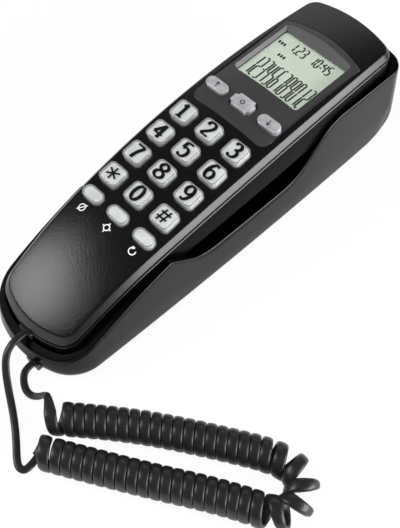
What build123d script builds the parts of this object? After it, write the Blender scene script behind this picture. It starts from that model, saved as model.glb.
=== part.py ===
from build123d import *
import math
import os

# A slim wall telephone, lying on its back: the handset rests face up in a cradle and a curly cord joins
# the two. Millimetres, +Z up, +Y towards the earpiece end, origin under the middle of the base.

# Fits and cutting allowances
overrun = 2.0
rest_gap = 0.3
seat_clearance = 0.1
running_clearance = 0.35

# Base seen from above
base_length = 188.0
base_width = 51.2
base_bow_radius = 3000.0
base_mic_end_radius = 41.0
base_mic_corner_radius = 16.0
base_head_end_radius = 77.0
base_head_corner_radius = 10.0

# Base walls and edges
base_wall = 2.2
base_bottom_edge_radius = 5.5
base_heel_radius = 31.0
lip_width = 0.9
lip_drop = 3.4

# Rim of the base seen from the side, with a finger scoop on each long side
rim_mic_height = 9.0
rim_mic_bulge = 2.0
rim_mic_shoulder_inset = 54.0
rim_mic_shoulder_height = 32.2
scoop_mic_inset = 69.0
scoop_head_inset = 68.0
scoop_height = 20.5
rim_head_shoulder_inset = 49.0
rim_head_shoulder_height = 38.8
rim_head_height = 37.0
scoop_corner_radius = 8.0

# Handset seen from above
handset_width = 46.6
handset_mic_inset = 4.6
handset_head_inset = 7.7
handset_widest_y = 17.0
handset_bow_radius = 1200.0
handset_mic_end_radius = 38.0
handset_mic_corner_radius = 8.0
handset_head_end_radius = 71.0
handset_head_corner_radius = 6.5
cradle_clearance = 0.6

# Arch of the handset face: a long arc over keypad and display, a tighter one down to the mouthpiece
keypad_y = -14.9
keypad_height = 44.6
face_tilt = 9.2
face_radius = 450.0
mic_face_radius = 150.0
mic_face_start = 28.0
crown_radius = 130.0

# Handset shells
front_edge_depth = 3.4
strip_drop = 2.1
strip_width = 1.8
handset_wall = 2.0
rear_mic_height = 6.5
rear_mic_flat_length = 25.5
grip_mic_inset = 41.5
grip_mic_height = 19.5
grip_middle_height = 25.5
grip_head_inset = 45.5
grip_head_height = 27.5
rear_head_flat_length = 39.5
rear_head_height = 23.0
rear_edge_radius = 5.0

# Cradle floor under the handset
floor_middle_height = 17.5
floor_ramp_clearance = 1.5

# Keys
key_column_pitch = 13.5
key_row_pitch = 12.04
key_width = 9.2
key_length = 8.6
key_corner_radius = 2.0
key_proud = 2.4
key_edge_radius = 0.5
key_flange_width = 0.6
key_flange_thickness = 1.2
key_travel = 1.2
keypad_roof_depth = 5.2
display_key_row_y = 35.7
display_key_width = 10.5
display_key_length = 5.0
display_key_proud = 1.6
ticket_key_width = 10.2
ticket_key_length = 6.2
ticket_notch_radius = 1.5
lower_key_row_y = -28.4
lower_key_width = 9.7
lower_key_length = 5.5
lower_key_proud = 1.8

# Display
display_y = 62.0
display_roof_depth = 4.0
display_width = 31.6
display_length = 29.2
display_corner_radius = 1.5
lcd_board_margin = 2.0
lcd_board_thickness = 2.6
lcd_glass_thickness = 0.4
window_thickness = 0.8
panel_width = 38.6
panel_start_y = 26.5
panel_end_y = 84.5
panel_thickness = 1.2
panel_top_radius = 60.0
panel_corner_radius = 4.5

# Handset electronics
mat_thickness = 1.0
dome_height = 0.6
dome_margin = 1.5
board_thickness = 1.6
board_width = 35.0
board_mic_end = -37.5
board_head_end = 44.5
board_post_diameter = 4.0
board_post_x = 14.0
board_post_inset = 2.7
receiver_diameter = 24.0
receiver_height = 8.0
receiver_inset = 24.5
sound_hole_diameter = 2.0
sound_ring_radius = 6.0
sound_hole_count = 6
microphone_diameter = 9.0
microphone_height = 3.4
microphone_inset = 9.6
handset_screw_mic_inset = 18.6
handset_screw_head_inset = 7.5
handset_boss_diameter = 7.0
handset_screw_diameter = 2.6
handset_screw_head_diameter = 5.4
handset_screw_head_height = 1.8
handset_screw_reach = 5.0

# Cord sleeves
sleeve_width = 7.0
sleeve_height = 3.4
sleeve_corner_share = 0.34
handset_sleeve_proud = 0.8
sleeve_length = 3.8
handset_sleeve_height = 13.8
base_sleeve_x = 6.5
base_sleeve_height = 3.5

# Back plate with two keyholes for wall screws
plate_width = 33.0
plate_mic_inset = 9.5
plate_head_inset = 38.0
plate_corner_radius = 6.0
plate_thickness = 2.0
keyhole_entry_diameter = 8.4
keyhole_slot_width = 4.4
keyhole_slot_length = 9.0
keyhole_mic_inset = 52.0
keyhole_head_inset = 53.0
base_screw_x = 12.5
base_screw_mic_inset = 42.0
base_screw_head_inset = 45.0
base_boss_diameter = 7.0
base_boss_tip_diameter = 5.0
base_screw_diameter = 2.6
base_screw_head_diameter = 5.6
base_screw_head_height = 1.2
base_screw_length = 9.0

# Base electronics
base_board_width = 32.0
base_board_mic_inset = 74.0
base_board_head_inset = 20.0
base_board_height = 8.0
base_post_inset = 80.0
base_post_diameter = 6.0
ringer_y = 8.0
ringer_diameter = 20.0
ringer_height = 5.0
jack_y = 28.0
jack_width = 12.8
jack_depth = 12.4
jack_bottom = 5.9
jack_height = 9.2
jack_mouth_width = 9.8
jack_mouth_height = 6.6
jack_mouth_depth = 10.4
jack_key_width = 4.2
jack_key_height = 1.0
hook_inset = 28.0
hook_switch_width = 12.0
hook_switch_length = 8.0
hook_switch_height = 5.0
plunger_diameter = 6.2
plunger_flange_diameter = 10.0
plunger_flange_thickness = 1.5

# Curly cord: the line that its curls wind round, from the base tail to the handset tail. Its places and
# those of the tails are counted from the base's mic end, and were chosen by hand to follow the photograph.
cord_diameter = 2.6
curl_diameter = 12.5
curl_pitch = 3.85
curl_bend_pitch = 6.8
curl_end_pitch = 8.0
curl_end_turns = 0.5
curl_bend_reach_share = 0.75
curl_line_steps = 1200
curl_nudge_turns = 0.002
gap_points = 1500
gap_reach_turns = 4
curl_floor_gap = 0.1
least_cord_gap = 0.4
curl_line = [
    (29.4, -9.6), (47.0, 5.8), (71.0, 22.2), (104.0, 41.6),
    (114.4, 23.6), (92.9, 13.6), (65.0, -4.2), (35.0, -21.4),
]
curl_bend_corners = (3, 4)
base_tail_route = [
    (6.5, 0.0, 3.5), (6.5, -3.3, 3.5), (8.6, -6.2, 2.9), (12.4, -8.4, 2.3), (16.2, -8.6, 3.2),
    (19.4, -7.4, 5.6), (21.8, -6.2, 8.7),
]
handset_tail_route = [
    (0.0, 3.8, 13.8), (0.0, 0.6, 13.8), (0.2, -3.0, 13.4), (1.4, -6.6, 11.9), (4.6, -9.9, 9.4),
    (9.9, -13.4, 6.3), (16.6, -17.2, 3.6), (22.0, -20.7, 2.3), (26.6, -24.0, 1.8), (30.4, -27.0, 1.6),
    (34.0, -29.0, 1.5),
]
tail_end_run = 3.4
corner_share = 0.45

# Values that follow from the sizes above
base_half_length = base_length / 2
rim_mic_shoulder_y = rim_mic_shoulder_inset - base_half_length
scoop_mic_y = scoop_mic_inset - base_half_length
scoop_head_y = base_half_length - scoop_head_inset
rim_head_shoulder_y = base_half_length - rim_head_shoulder_inset
handset_mic_end = handset_mic_inset - base_half_length
handset_head_end = base_half_length - handset_head_inset
rear_mic_flat_end_y = handset_mic_end + rear_mic_flat_length
grip_mic_y = handset_mic_end + grip_mic_inset
grip_head_y = handset_head_end - grip_head_inset
rear_head_flat_start_y = handset_head_end - rear_head_flat_length
floor_mic_flat_end_y = rear_mic_flat_end_y
floor_middle_start_y = grip_mic_y + floor_ramp_clearance
floor_middle_end_y = grip_head_y - floor_ramp_clearance
floor_head_start_y = rear_head_flat_start_y - floor_ramp_clearance
receiver_y = handset_head_end - receiver_inset
microphone_y = handset_mic_end + microphone_inset
handset_screw_mic_y = handset_mic_end + handset_screw_mic_inset
handset_screw_head_y = handset_head_end - handset_screw_head_inset
plate_mic_end = plate_mic_inset - base_half_length
plate_head_end = base_half_length - plate_head_inset
keyhole_mic_y = keyhole_mic_inset - base_half_length
keyhole_head_y = base_half_length - keyhole_head_inset
base_screw_mic_y = base_screw_mic_inset - base_half_length
base_screw_head_y = base_half_length - base_screw_head_inset
base_board_mic_end = base_board_mic_inset - base_half_length
base_board_head_end = base_half_length - base_board_head_inset
base_post_y = base_post_inset - base_half_length
hook_y = base_half_length - hook_inset
floor_mic_height = rear_mic_height - rest_gap
floor_head_height = rear_head_height - rest_gap
tilt_angle = math.radians(face_tilt)
face_normal = Vector(0, -math.sin(tilt_angle), math.cos(tilt_angle))
face_along = Vector(0, math.cos(tilt_angle), math.sin(tilt_angle))
keypad_origin = Vector(0, keypad_y, keypad_height)
keypad_plane = Plane(origin=keypad_origin, x_dir=(1, 0, 0), z_dir=face_normal)
flange_top = -keypad_roof_depth - rest_gap
mat_dome_top = flange_top - key_flange_thickness - key_travel - rest_gap
mat_top = mat_dome_top - dome_height
board_top = mat_top - mat_thickness
base_board_top = base_board_height + board_thickness
base_ceiling_middle = floor_middle_height - base_wall
base_ceiling_head = floor_head_height - base_wall
base_top = keypad_height + overrun
rim_reach = base_half_length + overrun


def arc_point(s):
    """Point of the long face arc, s along it from the keypad's middle."""
    angle = s / face_radius
    return (
        keypad_origin
        - face_normal * (face_radius * (1 - math.cos(angle)))
        + face_along * (face_radius * math.sin(angle))
    )


def mic_arc_point(s):
    """Point of the tighter arc towards the mouthpiece, s along it from where the arcs meet."""
    start = mic_face_start / face_radius
    normal = face_normal * math.cos(start) - face_along * math.sin(start)
    along = face_along * math.cos(start) + face_normal * math.sin(start)
    angle = s / mic_face_radius
    return (
        arc_point(-mic_face_start)
        - normal * (mic_face_radius * (1 - math.cos(angle)))
        - along * (mic_face_radius * math.sin(angle))
    )


def face_path():
    """Side line of the face, run past both ends of the handset."""
    mic_run = keypad_y - handset_mic_end
    head_run = handset_head_end - keypad_y + handset_head_corner_radius
    meeting = arc_point(-mic_face_start)
    mic_arc = ThreePointArc(mic_arc_point(mic_run), mic_arc_point(mic_run / 2), meeting)
    head_arc = ThreePointArc(meeting, arc_point(head_run / 2), arc_point(head_run))
    return Wire([mic_arc.edge(), head_arc.edge()])


def arched_bar(top, bottom, crowned_top=True, crowned_bottom=False):
    """Solid between two depths under the face, following its arch and, where asked, its crown."""
    half = base_width / 2 + overrun
    sag = crown_radius - math.sqrt(crown_radius**2 - half**2)

    def edge(depth, crowned):
        if crowned:
            return ThreePointArc((-half, -depth - sag), (0, -depth), (half, -depth - sag))
        return Line((-half, -depth), (half, -depth))

    upper = edge(top, crowned_top)
    lower = edge(bottom, crowned_bottom)
    sides = [Line(upper @ 0, lower @ 0), Line(upper @ 1, lower @ 1)]
    path = face_path()
    section = Plane(origin=path @ 0, x_dir=(-1, 0, 0), z_dir=path % 0)
    return sweep(section * make_face(Curve() + [upper, lower] + sides), path=path)


def half_width(y, width, widest_y, bow_radius):
    """Half the width of a bowed outline at y."""
    return width / 2 - (bow_radius - math.sqrt(bow_radius**2 - (y - widest_y) ** 2))


def bowed_outline(width, ends, widest_y, bow_radius, mic_radii, head_radii, grow):
    """Outline from above: bowed sides, arched ends, rounded corners, all grown by one distance."""
    mic_end, head_end = ends[0] - grow, ends[1] + grow
    size = (width + 2 * grow, widest_y, bow_radius + grow)
    mic_radius, mic_corner = (value + grow for value in mic_radii)
    head_radius, head_corner = (value + grow for value in head_radii)
    mic_x = half_width(mic_end, *size)
    head_x = half_width(head_end, *size)
    mic_y = mic_end + mic_radius - math.sqrt(mic_radius**2 - mic_x**2)
    head_y = head_end - head_radius + math.sqrt(head_radius**2 - head_x**2)
    mic_x = half_width(mic_y, *size)
    head_x = half_width(head_y, *size)
    side = size[0] / 2
    outline = make_face(Curve() + [
        ThreePointArc((mic_x, mic_y), (side, widest_y), (head_x, head_y)),
        ThreePointArc((head_x, head_y), (0, head_end), (-head_x, head_y)),
        ThreePointArc((-head_x, head_y), (-side, widest_y), (-mic_x, mic_y)),
        ThreePointArc((-mic_x, mic_y), (0, mic_end), (mic_x, mic_y)),
    ])
    outline = fillet(outline.vertices().sort_by(Axis.Y)[:2], mic_corner)
    head_vertices = outline.vertices().filter_by(lambda v: abs(v.Y - head_y) < seat_clearance)
    return fillet(head_vertices, head_corner)


def base_outline(grow=0.0):
    return bowed_outline(
        base_width, (-base_half_length, base_half_length), 0, base_bow_radius,
        (base_mic_end_radius, base_mic_corner_radius), (base_head_end_radius, base_head_corner_radius), grow,
    )


def handset_outline(grow=0.0):
    return bowed_outline(
        handset_width, (handset_mic_end, handset_head_end), handset_widest_y, handset_bow_radius,
        (handset_mic_end_radius, handset_mic_corner_radius),
        (handset_head_end_radius, handset_head_corner_radius), grow,
    )


def across(profile):
    """Side profile, drawn in Y and Z, extruded over the whole width."""
    return extrude(Plane.YZ * profile, base_width, both=True)


def column(x, y, bottom, top, diameter):
    """Upright cylinder between two heights."""
    return Pos(x, y, bottom) * extrude(Circle(diameter / 2), top - bottom)


def slab(sketch, bottom, top):
    """Flat piece between two heights."""
    return Pos(0, 0, bottom) * extrude(sketch, top - bottom)


def edges_between(solid, is_first, is_second):
    """Edges where a face of one kind meets a face of another."""
    def place(edge):
        middle = edge @ 0.5
        return tuple(round(value, 3) for value in (middle.X, middle.Y, middle.Z, edge.length))

    first = {place(e): e for face in solid.faces() if is_first(face) for e in face.edges()}
    second = {place(e) for face in solid.faces() if is_second(face) for e in face.edges()}
    return ShapeList([edge for key, edge in first.items() if key in second])


def middle_normal(face):
    return face.normal_at(face.center(CenterOf.GEOMETRY))


def is_wall(face):
    return abs(middle_normal(face).Z) < seat_clearance


def is_underside(face):
    return middle_normal(face).Z < -seat_clearance


def is_upper_side(face):
    return middle_normal(face).Z > seat_clearance


# Base

def rim_profile():
    """Side of the base under its rim, with the scoops and the rounded heel at the head end."""
    mic_middle_y = (rim_mic_shoulder_y - base_half_length) / 2
    mic_middle_height = (rim_mic_height + rim_mic_shoulder_height) / 2 + rim_mic_bulge
    mic_rim = ThreePointArc(
        (-base_half_length, rim_mic_height), (mic_middle_y, mic_middle_height),
        (rim_mic_shoulder_y, rim_mic_shoulder_height),
    )
    rest = Polyline(
        (rim_mic_shoulder_y, rim_mic_shoulder_height), (scoop_mic_y, scoop_height),
        (scoop_head_y, scoop_height), (rim_head_shoulder_y, rim_head_shoulder_height),
        (base_half_length, rim_head_height), (base_half_length, 0), (-base_half_length, 0),
        (-base_half_length, rim_mic_height),
    )
    profile = make_face(Curve() + [mic_rim, rest])

    def at(y, z):
        return profile.vertices().sort_by_distance((y, z))[0]

    profile = fillet(at(base_half_length, 0), base_heel_radius)
    for y, z in (
        (rim_mic_shoulder_y, rim_mic_shoulder_height), (scoop_mic_y, scoop_height),
        (scoop_head_y, scoop_height), (rim_head_shoulder_y, rim_head_shoulder_height),
    ):
        profile = fillet(at(y, z), scoop_corner_radius)
    return profile


def floor_profile():
    """Space above the cradle floor, seen from the side."""
    return make_face(Polyline(
        (-rim_reach, floor_mic_height), (floor_mic_flat_end_y, floor_mic_height),
        (floor_middle_start_y, floor_middle_height), (floor_middle_end_y, floor_middle_height),
        (floor_head_start_y, floor_head_height), (rim_reach, floor_head_height),
        (rim_reach, base_top), (-rim_reach, base_top), close=True,
    ))


def hollow_profile():
    """Space under the cradle floor, seen from the side."""
    mic_slope = math.atan2(
        floor_middle_height - floor_mic_height, floor_middle_start_y - floor_mic_flat_end_y,
    )
    head_slope = math.atan2(floor_head_height - floor_middle_height, floor_head_start_y - floor_middle_end_y)
    mic_shift = base_wall * math.tan(mic_slope / 2)
    head_shift = base_wall * math.tan(head_slope / 2)
    head_end = base_half_length - base_wall
    profile = make_face(Polyline(
        (-head_end, base_wall), (-head_end, floor_mic_height - base_wall),
        (floor_mic_flat_end_y + mic_shift, floor_mic_height - base_wall),
        (floor_middle_start_y + mic_shift, base_ceiling_middle),
        (floor_middle_end_y + head_shift, base_ceiling_middle),
        (floor_head_start_y + head_shift, base_ceiling_head),
        (head_end, base_ceiling_head), (head_end, base_wall), close=True,
    ))
    inside = make_face(Polyline(
        (-head_end, base_wall), (head_end, base_wall), (head_end, base_top), (-head_end, base_top), close=True,
    ))
    heel = inside.vertices().sort_by_distance((head_end, base_wall))[0]
    return profile & fillet(heel, base_heel_radius - base_wall)


def rounded_block(outline, bottom, radius):
    """Upright block with its bottom edges rounded."""
    block = slab(outline, bottom, base_top)
    return fillet(block.faces().sort_by(Axis.Z)[0].edges(), radius)


def ceiling_height(y):
    """Height of the hollow's ceiling at y, where a boss stands."""
    if y > floor_head_start_y:
        return base_ceiling_head
    if y > floor_middle_start_y:
        return base_ceiling_middle
    rise = (y - floor_mic_flat_end_y) / (floor_middle_start_y - floor_mic_flat_end_y)
    return floor_mic_height - base_wall + rise * (floor_middle_height - floor_mic_height)


def base_bosses():
    """Screw bosses and board posts that hang from the cradle floor."""
    bosses = []
    for x in (-base_screw_x, base_screw_x):
        root = base_wall / 2
        head_top = ceiling_height(base_screw_head_y) + root
        mic_top = ceiling_height(base_screw_mic_y) + root
        post_top = ceiling_height(base_post_y) + root
        bosses += [
            column(x, base_screw_head_y, base_board_top, head_top, base_boss_diameter),
            column(x, base_screw_head_y, plate_thickness, head_top, base_boss_tip_diameter),
            column(x, base_screw_mic_y, plate_thickness, mic_top, base_boss_diameter),
            column(x, base_post_y, base_board_top, post_top, base_post_diameter),
        ]
    return bosses


def base_screw_places():
    return [(x, y) for y in (base_screw_mic_y, base_screw_head_y) for x in (-base_screw_x, base_screw_x)]


def base_screw_seat():
    """Height of the face that the screw heads bear on."""
    return base_screw_head_height + seat_clearance


def jack_face_x():
    """Where the socket's face meets the inside of the left wall."""
    inner = half_width(jack_y + jack_width / 2, base_width, 0, base_bow_radius) - base_wall
    return -inner + seat_clearance


def jack_mouth(clearance, depth_from, depth_to):
    """Opening of the line socket, with the groove for the plug's latch."""
    height = jack_bottom + jack_height / 2
    mouth = Pos(0, jack_key_height / 2) * Rectangle(
        jack_mouth_width + 2 * clearance, jack_mouth_height + 2 * clearance,
    )
    mouth += Pos(0, -jack_mouth_height / 2) * Rectangle(
        jack_key_width + 2 * clearance, jack_key_height + 2 * clearance,
    )
    plane = Plane(origin=(depth_from, jack_y, height), x_dir=(0, 1, 0), z_dir=(1, 0, 0))
    return extrude(plane * mouth, depth_to - depth_from)


def sleeve_solid(x, start, end, height, grow):
    """Cord sleeve through an end wall."""
    plane = Plane(origin=(x, start, height), x_dir=(1, 0, 0), z_dir=(0, 1, 0))
    corner = sleeve_corner_share * (sleeve_height + grow)
    sketch = RectangleRounded(sleeve_width + 2 * grow, sleeve_height + 2 * grow, corner)
    return extrude(plane * sketch, end - start)


def base_sleeve(grow):
    end = sleeve_length - base_half_length + grow
    return sleeve_solid(base_sleeve_x, -base_half_length, end, base_sleeve_height, grow)


def handset_sleeve(grow):
    start = handset_mic_end - handset_sleeve_proud
    return sleeve_solid(0, start, handset_mic_end + sleeve_length + grow, handset_sleeve_height, grow)


def base_shell():
    solid = rounded_block(base_outline(), 0, base_bottom_edge_radius) & across(rim_profile())
    lip = edges_between(solid, is_wall, is_upper_side)
    solid = solid.chamfer(lip_drop, lip_width, lip)
    solid -= slab(handset_outline(cradle_clearance), 0, base_top) & across(floor_profile())
    inner_radius = base_bottom_edge_radius - base_wall
    hollow = rounded_block(base_outline(-base_wall), base_wall, inner_radius) & across(hollow_profile())
    solid -= hollow
    solid -= slab(plate_outline(seat_clearance), -overrun, base_wall + overrun)
    solid += base_bosses()
    for x, y in base_screw_places():
        solid -= column(
            x, y, 0, base_screw_seat() + base_screw_length + seat_clearance,
            base_screw_diameter + 2 * seat_clearance,
        )
    solid -= jack_mouth(rest_gap, -base_width / 2 - overrun, jack_face_x() + overrun)
    solid -= base_sleeve(seat_clearance)
    solid -= column(
        0, hook_y, base_ceiling_head - overrun, floor_head_height + overrun,
        plunger_diameter + 2 * running_clearance,
    )
    return solid


def plate_outline(grow=0.0):
    length = plate_head_end - plate_mic_end
    middle = (plate_head_end + plate_mic_end) / 2
    sketch = RectangleRounded(plate_width + 2 * grow, length + 2 * grow, plate_corner_radius + grow)
    return Pos(0, middle) * sketch


def keyhole(y):
    """Round entry with a slot above it for the neck of a wall screw."""
    slot = Pos(0, y + keyhole_slot_length / 2) * SlotCenterToCenter(
        keyhole_slot_length, keyhole_slot_width, rotation=90,
    )
    return Pos(0, y) * Circle(keyhole_entry_diameter / 2) + slot


def base_back_plate():
    sketch = plate_outline()
    for y in (keyhole_mic_y, keyhole_head_y):
        sketch -= keyhole(y)
    plate = slab(sketch, 0, plate_thickness)
    for x, y in base_screw_places():
        plate -= column(x, y, -overrun, plate_thickness + overrun, base_screw_diameter + 2 * seat_clearance)
        plate -= column(x, y, -overrun, base_screw_seat(), base_screw_head_diameter + 2 * seat_clearance)
    return plate


def base_screws():
    screws = []
    for x, y in base_screw_places():
        seat = base_screw_seat()
        head = column(x, y, seat - base_screw_head_height, seat, base_screw_head_diameter)
        screws.append(head + column(x, y, seat, seat + base_screw_length, base_screw_diameter))
    return Compound(children=screws)


def base_board():
    length = base_board_head_end - base_board_mic_end
    middle = (base_board_head_end + base_board_mic_end) / 2
    sketch = Pos(0, middle) * Rectangle(base_board_width, length)
    for x in (-base_screw_x, base_screw_x):
        sketch -= Pos(x, base_screw_head_y) * Circle(base_boss_tip_diameter / 2 + seat_clearance)
    notch_depth = jack_face_x() + jack_depth + base_board_width / 2 + seat_clearance
    notch_x = -base_board_width / 2 + notch_depth / 2
    sketch -= Pos(notch_x, jack_y) * Rectangle(notch_depth, jack_width + 2 * seat_clearance)
    return slab(sketch, base_board_height, base_board_top)


def ringer():
    return column(0, ringer_y, base_board_top, base_board_top + ringer_height, ringer_diameter)


def line_jack():
    start = jack_face_x()
    height = jack_bottom + jack_height / 2
    plane = Plane(origin=(start, jack_y, height), x_dir=(0, 1, 0), z_dir=(1, 0, 0))
    body = extrude(plane * Rectangle(jack_width, jack_height), jack_depth)
    return body - jack_mouth(0, start - overrun, start + jack_mouth_depth)


def hook_switch():
    sketch = Pos(0, hook_y) * Rectangle(hook_switch_width, hook_switch_length)
    return slab(sketch, base_board_top, base_board_top + hook_switch_height)


def hook_plunger():
    bottom = base_board_top + hook_switch_height + rest_gap
    flange = column(0, hook_y, bottom, bottom + plunger_flange_thickness, plunger_flange_diameter)
    stem = column(0, hook_y, bottom, floor_head_height, plunger_diameter)
    return flange + stem


def base_cord_sleeve():
    return base_sleeve(0)


# Handset

def face_depth(x, y):
    """How far the face lies under the keypad plane at a place on that plane."""
    crown = crown_radius - math.sqrt(crown_radius**2 - x**2)
    if y > -mic_face_start:
        return crown + face_radius - math.sqrt(face_radius**2 - y**2)
    start = mic_face_start / face_radius
    centre_y = -(face_radius - mic_face_radius) * math.sin(start)
    centre_depth = face_radius - (face_radius - mic_face_radius) * math.cos(start)
    return crown + centre_depth - math.sqrt(mic_face_radius**2 - (y - centre_y) ** 2)


def display_plane():
    """Plane that touches the face at the display's middle."""
    angle = math.asin(display_y / face_radius)
    normal = face_normal * math.cos(angle) + face_along * math.sin(angle)
    return Plane(origin=arc_point(face_radius * angle), x_dir=(1, 0, 0), z_dir=normal)


def below(plane, depth):
    """Everything under a plane sunk by a depth, as far as the handset reaches."""
    return plane * Pos(0, 0, -depth - base_length / 2) * Box(base_length, 2 * base_length, base_length)


def rounded_key(width, length, grow):
    return RectangleRounded(width + 2 * grow, length + 2 * grow, key_corner_radius + grow)


def stadium_key(width, length, grow):
    return SlotOverall(width + 2 * grow, length + 2 * grow)


def ticket_key(width, length, grow):
    """Rectangle with a round bite out of each corner."""
    sketch = Rectangle(width + 2 * grow, length + 2 * grow)
    for x in (-width / 2, width / 2):
        for y in (-length / 2, length / 2):
            sketch -= Pos(x, y) * Circle(ticket_notch_radius - grow)
    return sketch


def key_table():
    """Every key: its node, sketch function, size, height over the face and place on the keypad plane."""
    keys = []
    rows = [("1", "2", "3"), ("4", "5", "6"), ("7", "8", "9"), ("star", "0", "hash")]
    columns = (-key_column_pitch, 0, key_column_pitch)
    for row, names in enumerate(rows):
        y = ((len(rows) - 1) / 2 - row) * key_row_pitch
        for x, name in zip(columns, names):
            keys.append(("key_" + name, rounded_key, key_width, key_length, key_proud, x, y))
    for x, name, shape, width, length in (
        (columns[0], "key_display_left", stadium_key, display_key_width, display_key_length),
        (columns[1], "key_display_middle", ticket_key, ticket_key_width, ticket_key_length),
        (columns[2], "key_display_right", stadium_key, display_key_width, display_key_length),
    ):
        keys.append((name, shape, width, length, display_key_proud, x, display_key_row_y))
    for x, name in zip(columns, ("key_mute", "key_set", "key_redial")):
        keys.append((name, stadium_key, lower_key_width, lower_key_length, lower_key_proud, x, lower_key_row_y))
    return keys


def key_cap(shape, width, length, proud, x, y):
    """Key with its flange under the shell, standing over the face by a fixed height."""
    top = proud - face_depth(x, y)
    stem = slab(shape(width, length, 0), flange_top, top)
    stem = fillet(stem.faces().sort_by(Axis.Z)[-1].edges(), key_edge_radius)
    flange = slab(
        shape(width, length, key_flange_width), flange_top - key_flange_thickness, flange_top,
    )
    return keypad_plane * Pos(x, y, 0) * (stem + flange)


def key_wells():
    """Openings in the shell and panel that the keys pass through."""
    wells = []
    for name, shape, width, length, proud, x, y in key_table():
        well = slab(shape(width, length, running_clearance), -2 * keypad_roof_depth, keypad_roof_depth)
        wells.append(keypad_plane * Pos(x, y, 0) * well)
    return wells


def display_opening(grow, bottom, top):
    """Upright prism of the display's own outline between two heights over the display plane."""
    sketch = RectangleRounded(
        display_width + 2 * grow, display_length + 2 * grow, display_corner_radius + grow,
    )
    return display_plane() * slab(sketch, bottom, top)


def panel_outline(grow):
    """Panel round display and its keys: straight below, gently arched at the top."""
    half = panel_width / 2 + grow
    start, end = panel_start_y - grow, panel_end_y + grow
    shoulder = end - panel_top_radius + math.sqrt(panel_top_radius**2 - half**2)
    outline = make_face(Curve() + [
        Polyline((-half, shoulder), (-half, start), (half, start), (half, shoulder)),
        ThreePointArc((half, shoulder), (0, end), (-half, shoulder)),
    ])
    return fillet(outline.vertices(), panel_corner_radius + grow)


def panel_prism(grow):
    return keypad_plane * slab(panel_outline(grow), -keypad_height / 2, keypad_height / 2)


def handset_prism(grow=0.0):
    return slab(handset_outline(grow), 0, keypad_height + face_radius / 2)


def works_zone():
    """Inside of the front shell over board and display, where its underside is flat."""
    start = board_mic_end - seat_clearance
    end = display_y + display_length / 2 + lcd_board_margin + seat_clearance
    zone = keypad_plane * slab(
        Pos(0, (start + end) / 2) * Rectangle(base_width, end - start), -keypad_height, keypad_height,
    )
    return zone & handset_prism(-handset_wall)


def under_works():
    """Space under the flat seats for the keys and the display."""
    return below(keypad_plane, keypad_roof_depth) & below(display_plane(), display_roof_depth)


def board_post_places():
    ends = (board_mic_end + board_post_inset, board_head_end - board_post_inset)
    return [(x, y) for y in ends for x in (-board_post_x, board_post_x)]


def boss_split_height(y):
    """Height where the bosses of the two handset shells meet."""
    point = min((arc_point(s) for s in range(-int(base_length), int(base_length))), key=lambda p: abs(p.Y - y))
    if y < keypad_y - mic_face_start:
        run = range(0, int(base_length / 2))
        point = min((mic_arc_point(s) for s in run), key=lambda p: abs(p.Y - y))
    return point.Z - keypad_roof_depth - handset_boss_diameter / 2


def handset_screw_places():
    return [(handset_screw_mic_y, rear_mic_height), (handset_screw_head_y, rear_head_height)]


def handset_screw_hole(y, bottom, top):
    return column(0, y, bottom, top, handset_screw_diameter + 2 * seat_clearance)


def handset_front_shell():
    block = arched_bar(0, keypad_height / 3) & handset_prism()
    rim = edges_between(block, lambda f: f.geom_type == GeomType.TORUS, is_wall)
    block = block.chamfer(strip_drop, strip_width, rim)
    zone = works_zone()
    under_edge = arched_bar(front_edge_depth, keypad_height, crowned_bottom=False)
    solid = block - (under_edge - zone) - (under_works() & zone)
    inside = handset_prism(-handset_wall)
    for y, rear_height in handset_screw_places():
        split = boss_split_height(y)
        boss = column(0, y, split, split + keypad_height, handset_boss_diameter)
        solid += boss & arched_bar(strip_width, keypad_height) & inside
        solid -= handset_screw_hole(y, split - overrun, split + handset_screw_reach + seat_clearance)
    for x, y in board_post_places():
        post = column(x, y, board_top, 0, board_post_diameter)
        solid += (keypad_plane * post) & arched_bar(strip_width, keypad_height)
    solid -= key_wells()
    solid -= display_opening(rest_gap, -keypad_height / 2, keypad_height / 2)
    solid -= panel_prism(seat_clearance) - arched_bar(panel_thickness, keypad_height)
    solid -= handset_sleeve(seat_clearance)
    return solid


def rear_profile():
    """Side of the rear shell: mouthpiece, hollow grip and earpiece."""
    return make_face(Curve() + [
        Polyline(
            (-rim_reach, rear_mic_height), (rear_mic_flat_end_y, rear_mic_height),
            (grip_mic_y, grip_mic_height),
        ),
        ThreePointArc((grip_mic_y, grip_mic_height), (0, grip_middle_height), (grip_head_y, grip_head_height)),
        Polyline(
            (grip_head_y, grip_head_height), (rear_head_flat_start_y, rear_head_height),
            (rim_reach, rear_head_height), (rim_reach, base_top), (-rim_reach, base_top),
            (-rim_reach, rear_mic_height),
        ),
    ])


def over_seam():
    """Everything above the line where the two handset shells meet."""
    return arched_bar(-keypad_height, front_edge_depth, crowned_top=False, crowned_bottom=True)


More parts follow.
